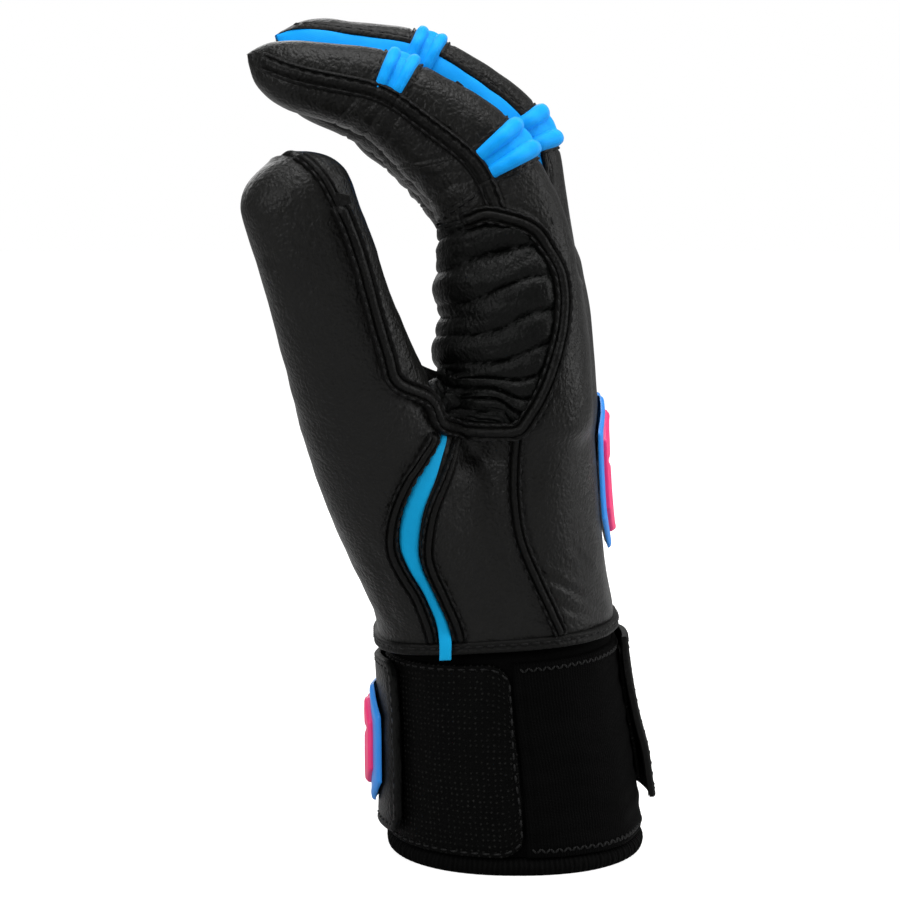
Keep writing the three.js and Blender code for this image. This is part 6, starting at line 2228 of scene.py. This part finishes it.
@dataclass
class Badge:
    """A plain six-sided rubber badge: a bevelled blue base and a raised pink inlay with three ribs.

    Attributes:
        shop: the workshop.
        name: the CAD name without its layer.
        body: the body that carries it.
        place: a place by height and distance aside, both arrays.
        lift: the height of what it lies on, by distance aside.
        size: the height of its middle, how tall it is and how wide.
    """

    shop: Workshop
    name: str
    body: str
    place: Callable[[Array, Array], Array]
    lift: Callable[[Array], Array]
    size: Triple

    SHARES = ((-0.5, 0.45), (-0.28, 1), (0, 1), (0.28, 1), (0.5, 0.45))

    def layer(self, rim: float, extra: float, wall: float, edge: EdgeFinish, ribs: float) -> Sheet:
        """One layer of the badge.

        Args:
            rim: how much smaller it is than the badge.
            extra: how far its face lies over what carries it.
            wall: how thick it is.
            edge: how its edge is finished.
            ribs: how high its ribs are.

        Returns:
            The layer's sheet.
        """
        centre, height, width = self.size[0], self.size[1] - rim, self.size[2] - rim
        rows = -0.5 + shares(height, 0.5)[:, None]
        share = -1 + 2 * shares(width, 0.5)[None]
        table = np.array(self.SHARES)
        aside = share * (np.interp(rows, table[:, 0], table[:, 1]) * width / 2)
        points = self.place(centre + rows * height + 0 * share, aside)
        across = np.abs(share)
        ridge = np.exp(-((across / 0.2) ** 2)) + np.exp(-(((across - 0.62) / 0.16) ** 2))
        relief = ribs * ridge * (1 - 0.9 * np.exp(-(((rows * height - 3.5) / 0.9) ** 2)))
        middle = points.mean((0, 1))
        inside = middle - unit(middle * (1, 1, 0)) * 30
        return Sheet(wall, edge).add(points, self.lift(aside) + extra + relief, inside)

    def build(self) -> None:
        """Makes both layers."""
        for name, finish, numbers in (
            ("base", "blue_rubber", (0, 1.75, 1.1, EdgeFinish(1.3, 0.85), 0)),
            ("inlay", "pink_rubber", (8, 2.9, 1.2, EdgeFinish(0.7, 0.6), 0.55)),
        ):
            node = f"{self.name}_{name}"
            self.shop.fit(f"{node}_rubber", self.layer(*numbers), finish, node, self.body)


WRIST_TURN = -183


def badges(shop: Workshop, cuff: Cuff) -> list[Badge]:
    """The badge on the back of the hand and the badge on the palm-side strap."""

    def on_hand(height: Array, aside: Array) -> Array:
        """Places on the back of the hand."""
        origin = palm_axis(height)
        origin[..., 1] = aside
        coarse = cast(origin[::3, ::3], np.array([1.0, 0.0, 0.0]))
        rows = np.clip(np.arange(height.shape[0]) / 3, 0, coarse.shape[0] - 1)
        columns = np.clip(np.arange(height.shape[1]) / 3, 0, coarse.shape[1] - 1)
        spots = refine(coarse, rows=rows, columns=columns)
        spots[..., 1], spots[..., 2] = aside, height
        return lean(spots)

    def wrist_turn(aside: Array) -> Array:
        """The turn on the cuff that lies some way aside of the badge's middle."""
        return WRIST_TURN + aside / (CUFF_DEPTH / 2 * math.pi / 180)

    return [
        Badge(shop, "hand_badge", "hand", on_hand, lambda aside: 0 * aside, (94, 40, 30)),
        Badge(
            shop, "wrist_badge", "palm_strap", lambda height, aside: cuff_spot(height, wrist_turn(aside)),
            lambda aside: cuff.palm_lift(wrist_turn(aside)), (27, 30, 26),
        ),
    ]


@dataclass(frozen=True)
class Lamp:
    """A soft area light."""

    name: str
    place: Triple
    size: Trim
    power: float

    def build(self) -> None:
        """Puts the light into the scene, turned to the glove."""
        light = bpy.data.lights.new(self.name, "AREA")
        light.shape = "RECTANGLE"
        light.size, light.size_y = self.size
        light.energy = self.power
        show(self.name, light, Vector(self.place))


@dataclass
class Studio:
    """What the glove is photographed in.

    Attributes:
        reach: half the floor's width, in metres.
        grey: the strength of the even light from all sides.
        paper: the strength at which the floor reads as white.
        sensor: the width of its film, in millimetres.
        half_view: half the camera's angle of view, in degrees.
        rise: how far up the camera stands, in degrees.
        away: how far it stands from the glove, in metres.
        lamps: the lights.
    """

    reach: float = 6.0
    grey: float = 0.4
    paper: float = 0.83
    sensor: float = 36.0
    half_view: float = 10.3
    rise: float = 6.0
    away: float = 0.62
    lamps: tuple[Lamp, ...] = (
        Lamp("top", (0.05, -0.15, 0.95), (0.7, 0.7), 9.5),
        Lamp("front", (-0.6, -0.8, 0.45), (0.5, 0.5), 5.0),
        Lamp("right", (0.85, -0.1, 0.35), (0.5, 0.8), 5.5),
        Lamp("behind", (-0.3, 0.9, 0.6), (0.8, 0.6), 4.0),
    )

    def floor(self) -> None:
        """A wide plane that reads as white and keeps the glove's shadow."""
        mesh = bpy.data.meshes.new("floor")
        signs = (-1, -1), (1, -1), (1, 1), (-1, 1)
        mesh.from_pydata([(x * self.reach, y * self.reach, 0) for x, y in signs], [], [(0, 1, 2, 3)])
        shader = Shader("paper_floor", 0.0, Roughness=0.9)
        seen = shader.remap(shader.add("LightPath").outputs["Is Camera Ray"], 0.0, self.paper)
        white = {"Base Color": (0.5, 0.5, 0.5, 1), "Emission Color": (1, 1, 1, 1)}
        shader.feed(shader.surface, {**white, "Emission Strength": seen})
        mesh.materials.append(shader.material)
        show("floor", mesh)

    def surround(self) -> None:
        """A white surround for the camera, and an even soft grey for the light it gives."""
        world = bpy.data.worlds.new("surround")
        bpy.context.scene.world = world
        world.use_nodes = True
        nodes = Nodes(world.node_tree)
        soft, seen = (
            nodes.add("Background", {"Color": (1, 1, 1, 1), "Strength": strength}).outputs["Background"]
            for strength in (self.grey, 1.0)
        )
        camera = nodes.add("LightPath").outputs["Is Camera Ray"]
        mix = nodes.add("MixShader", {"Fac": camera, 1: soft, 2: seen})
        nodes.add("OutputWorld", {"Surface": mix.outputs["Shader"]})

    def camera(self) -> None:
        """The camera, as the photograph was taken."""
        lens = bpy.data.cameras.new("camera")
        lens.sensor_width = self.sensor
        lens.lens = self.sensor / 2 / math.tan(math.radians(self.half_view))
        lens.clip_end = 50
        rise = math.radians(self.rise)
        away = Vector((0, -math.cos(rise), math.sin(rise)))
        bpy.context.scene.camera = show("camera", lens, GLOVE_CENTRE + away * self.away)

    def build(self) -> None:
        """Makes the floor, the surround, the camera and the lights."""
        self.floor()
        self.surround()
        self.camera()
        for lamp in self.lamps:
            lamp.build()


def main() -> None:
    """Builds the dressed glove and the studio."""
    logging.basicConfig(level=logging.INFO, format="%(message)s")
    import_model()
    materials = {name: finish.dress() for name, finish in FINISHES.items()}
    shop = Workshop(materials, np.array(FRAME_SHIFT))
    Hand(shop).build()
    Side(shop).build()
    for finger in FINGERS:
        Digit(shop, finger).build()
    cuff = Cuff(shop)
    cuff.build()
    for badge in badges(shop, cuff):
        badge.build()
    shop.tie_off()
    Studio().build()
    bpy.context.scene.view_settings.view_transform = "Standard"


if __name__ == "__main__":
    main()
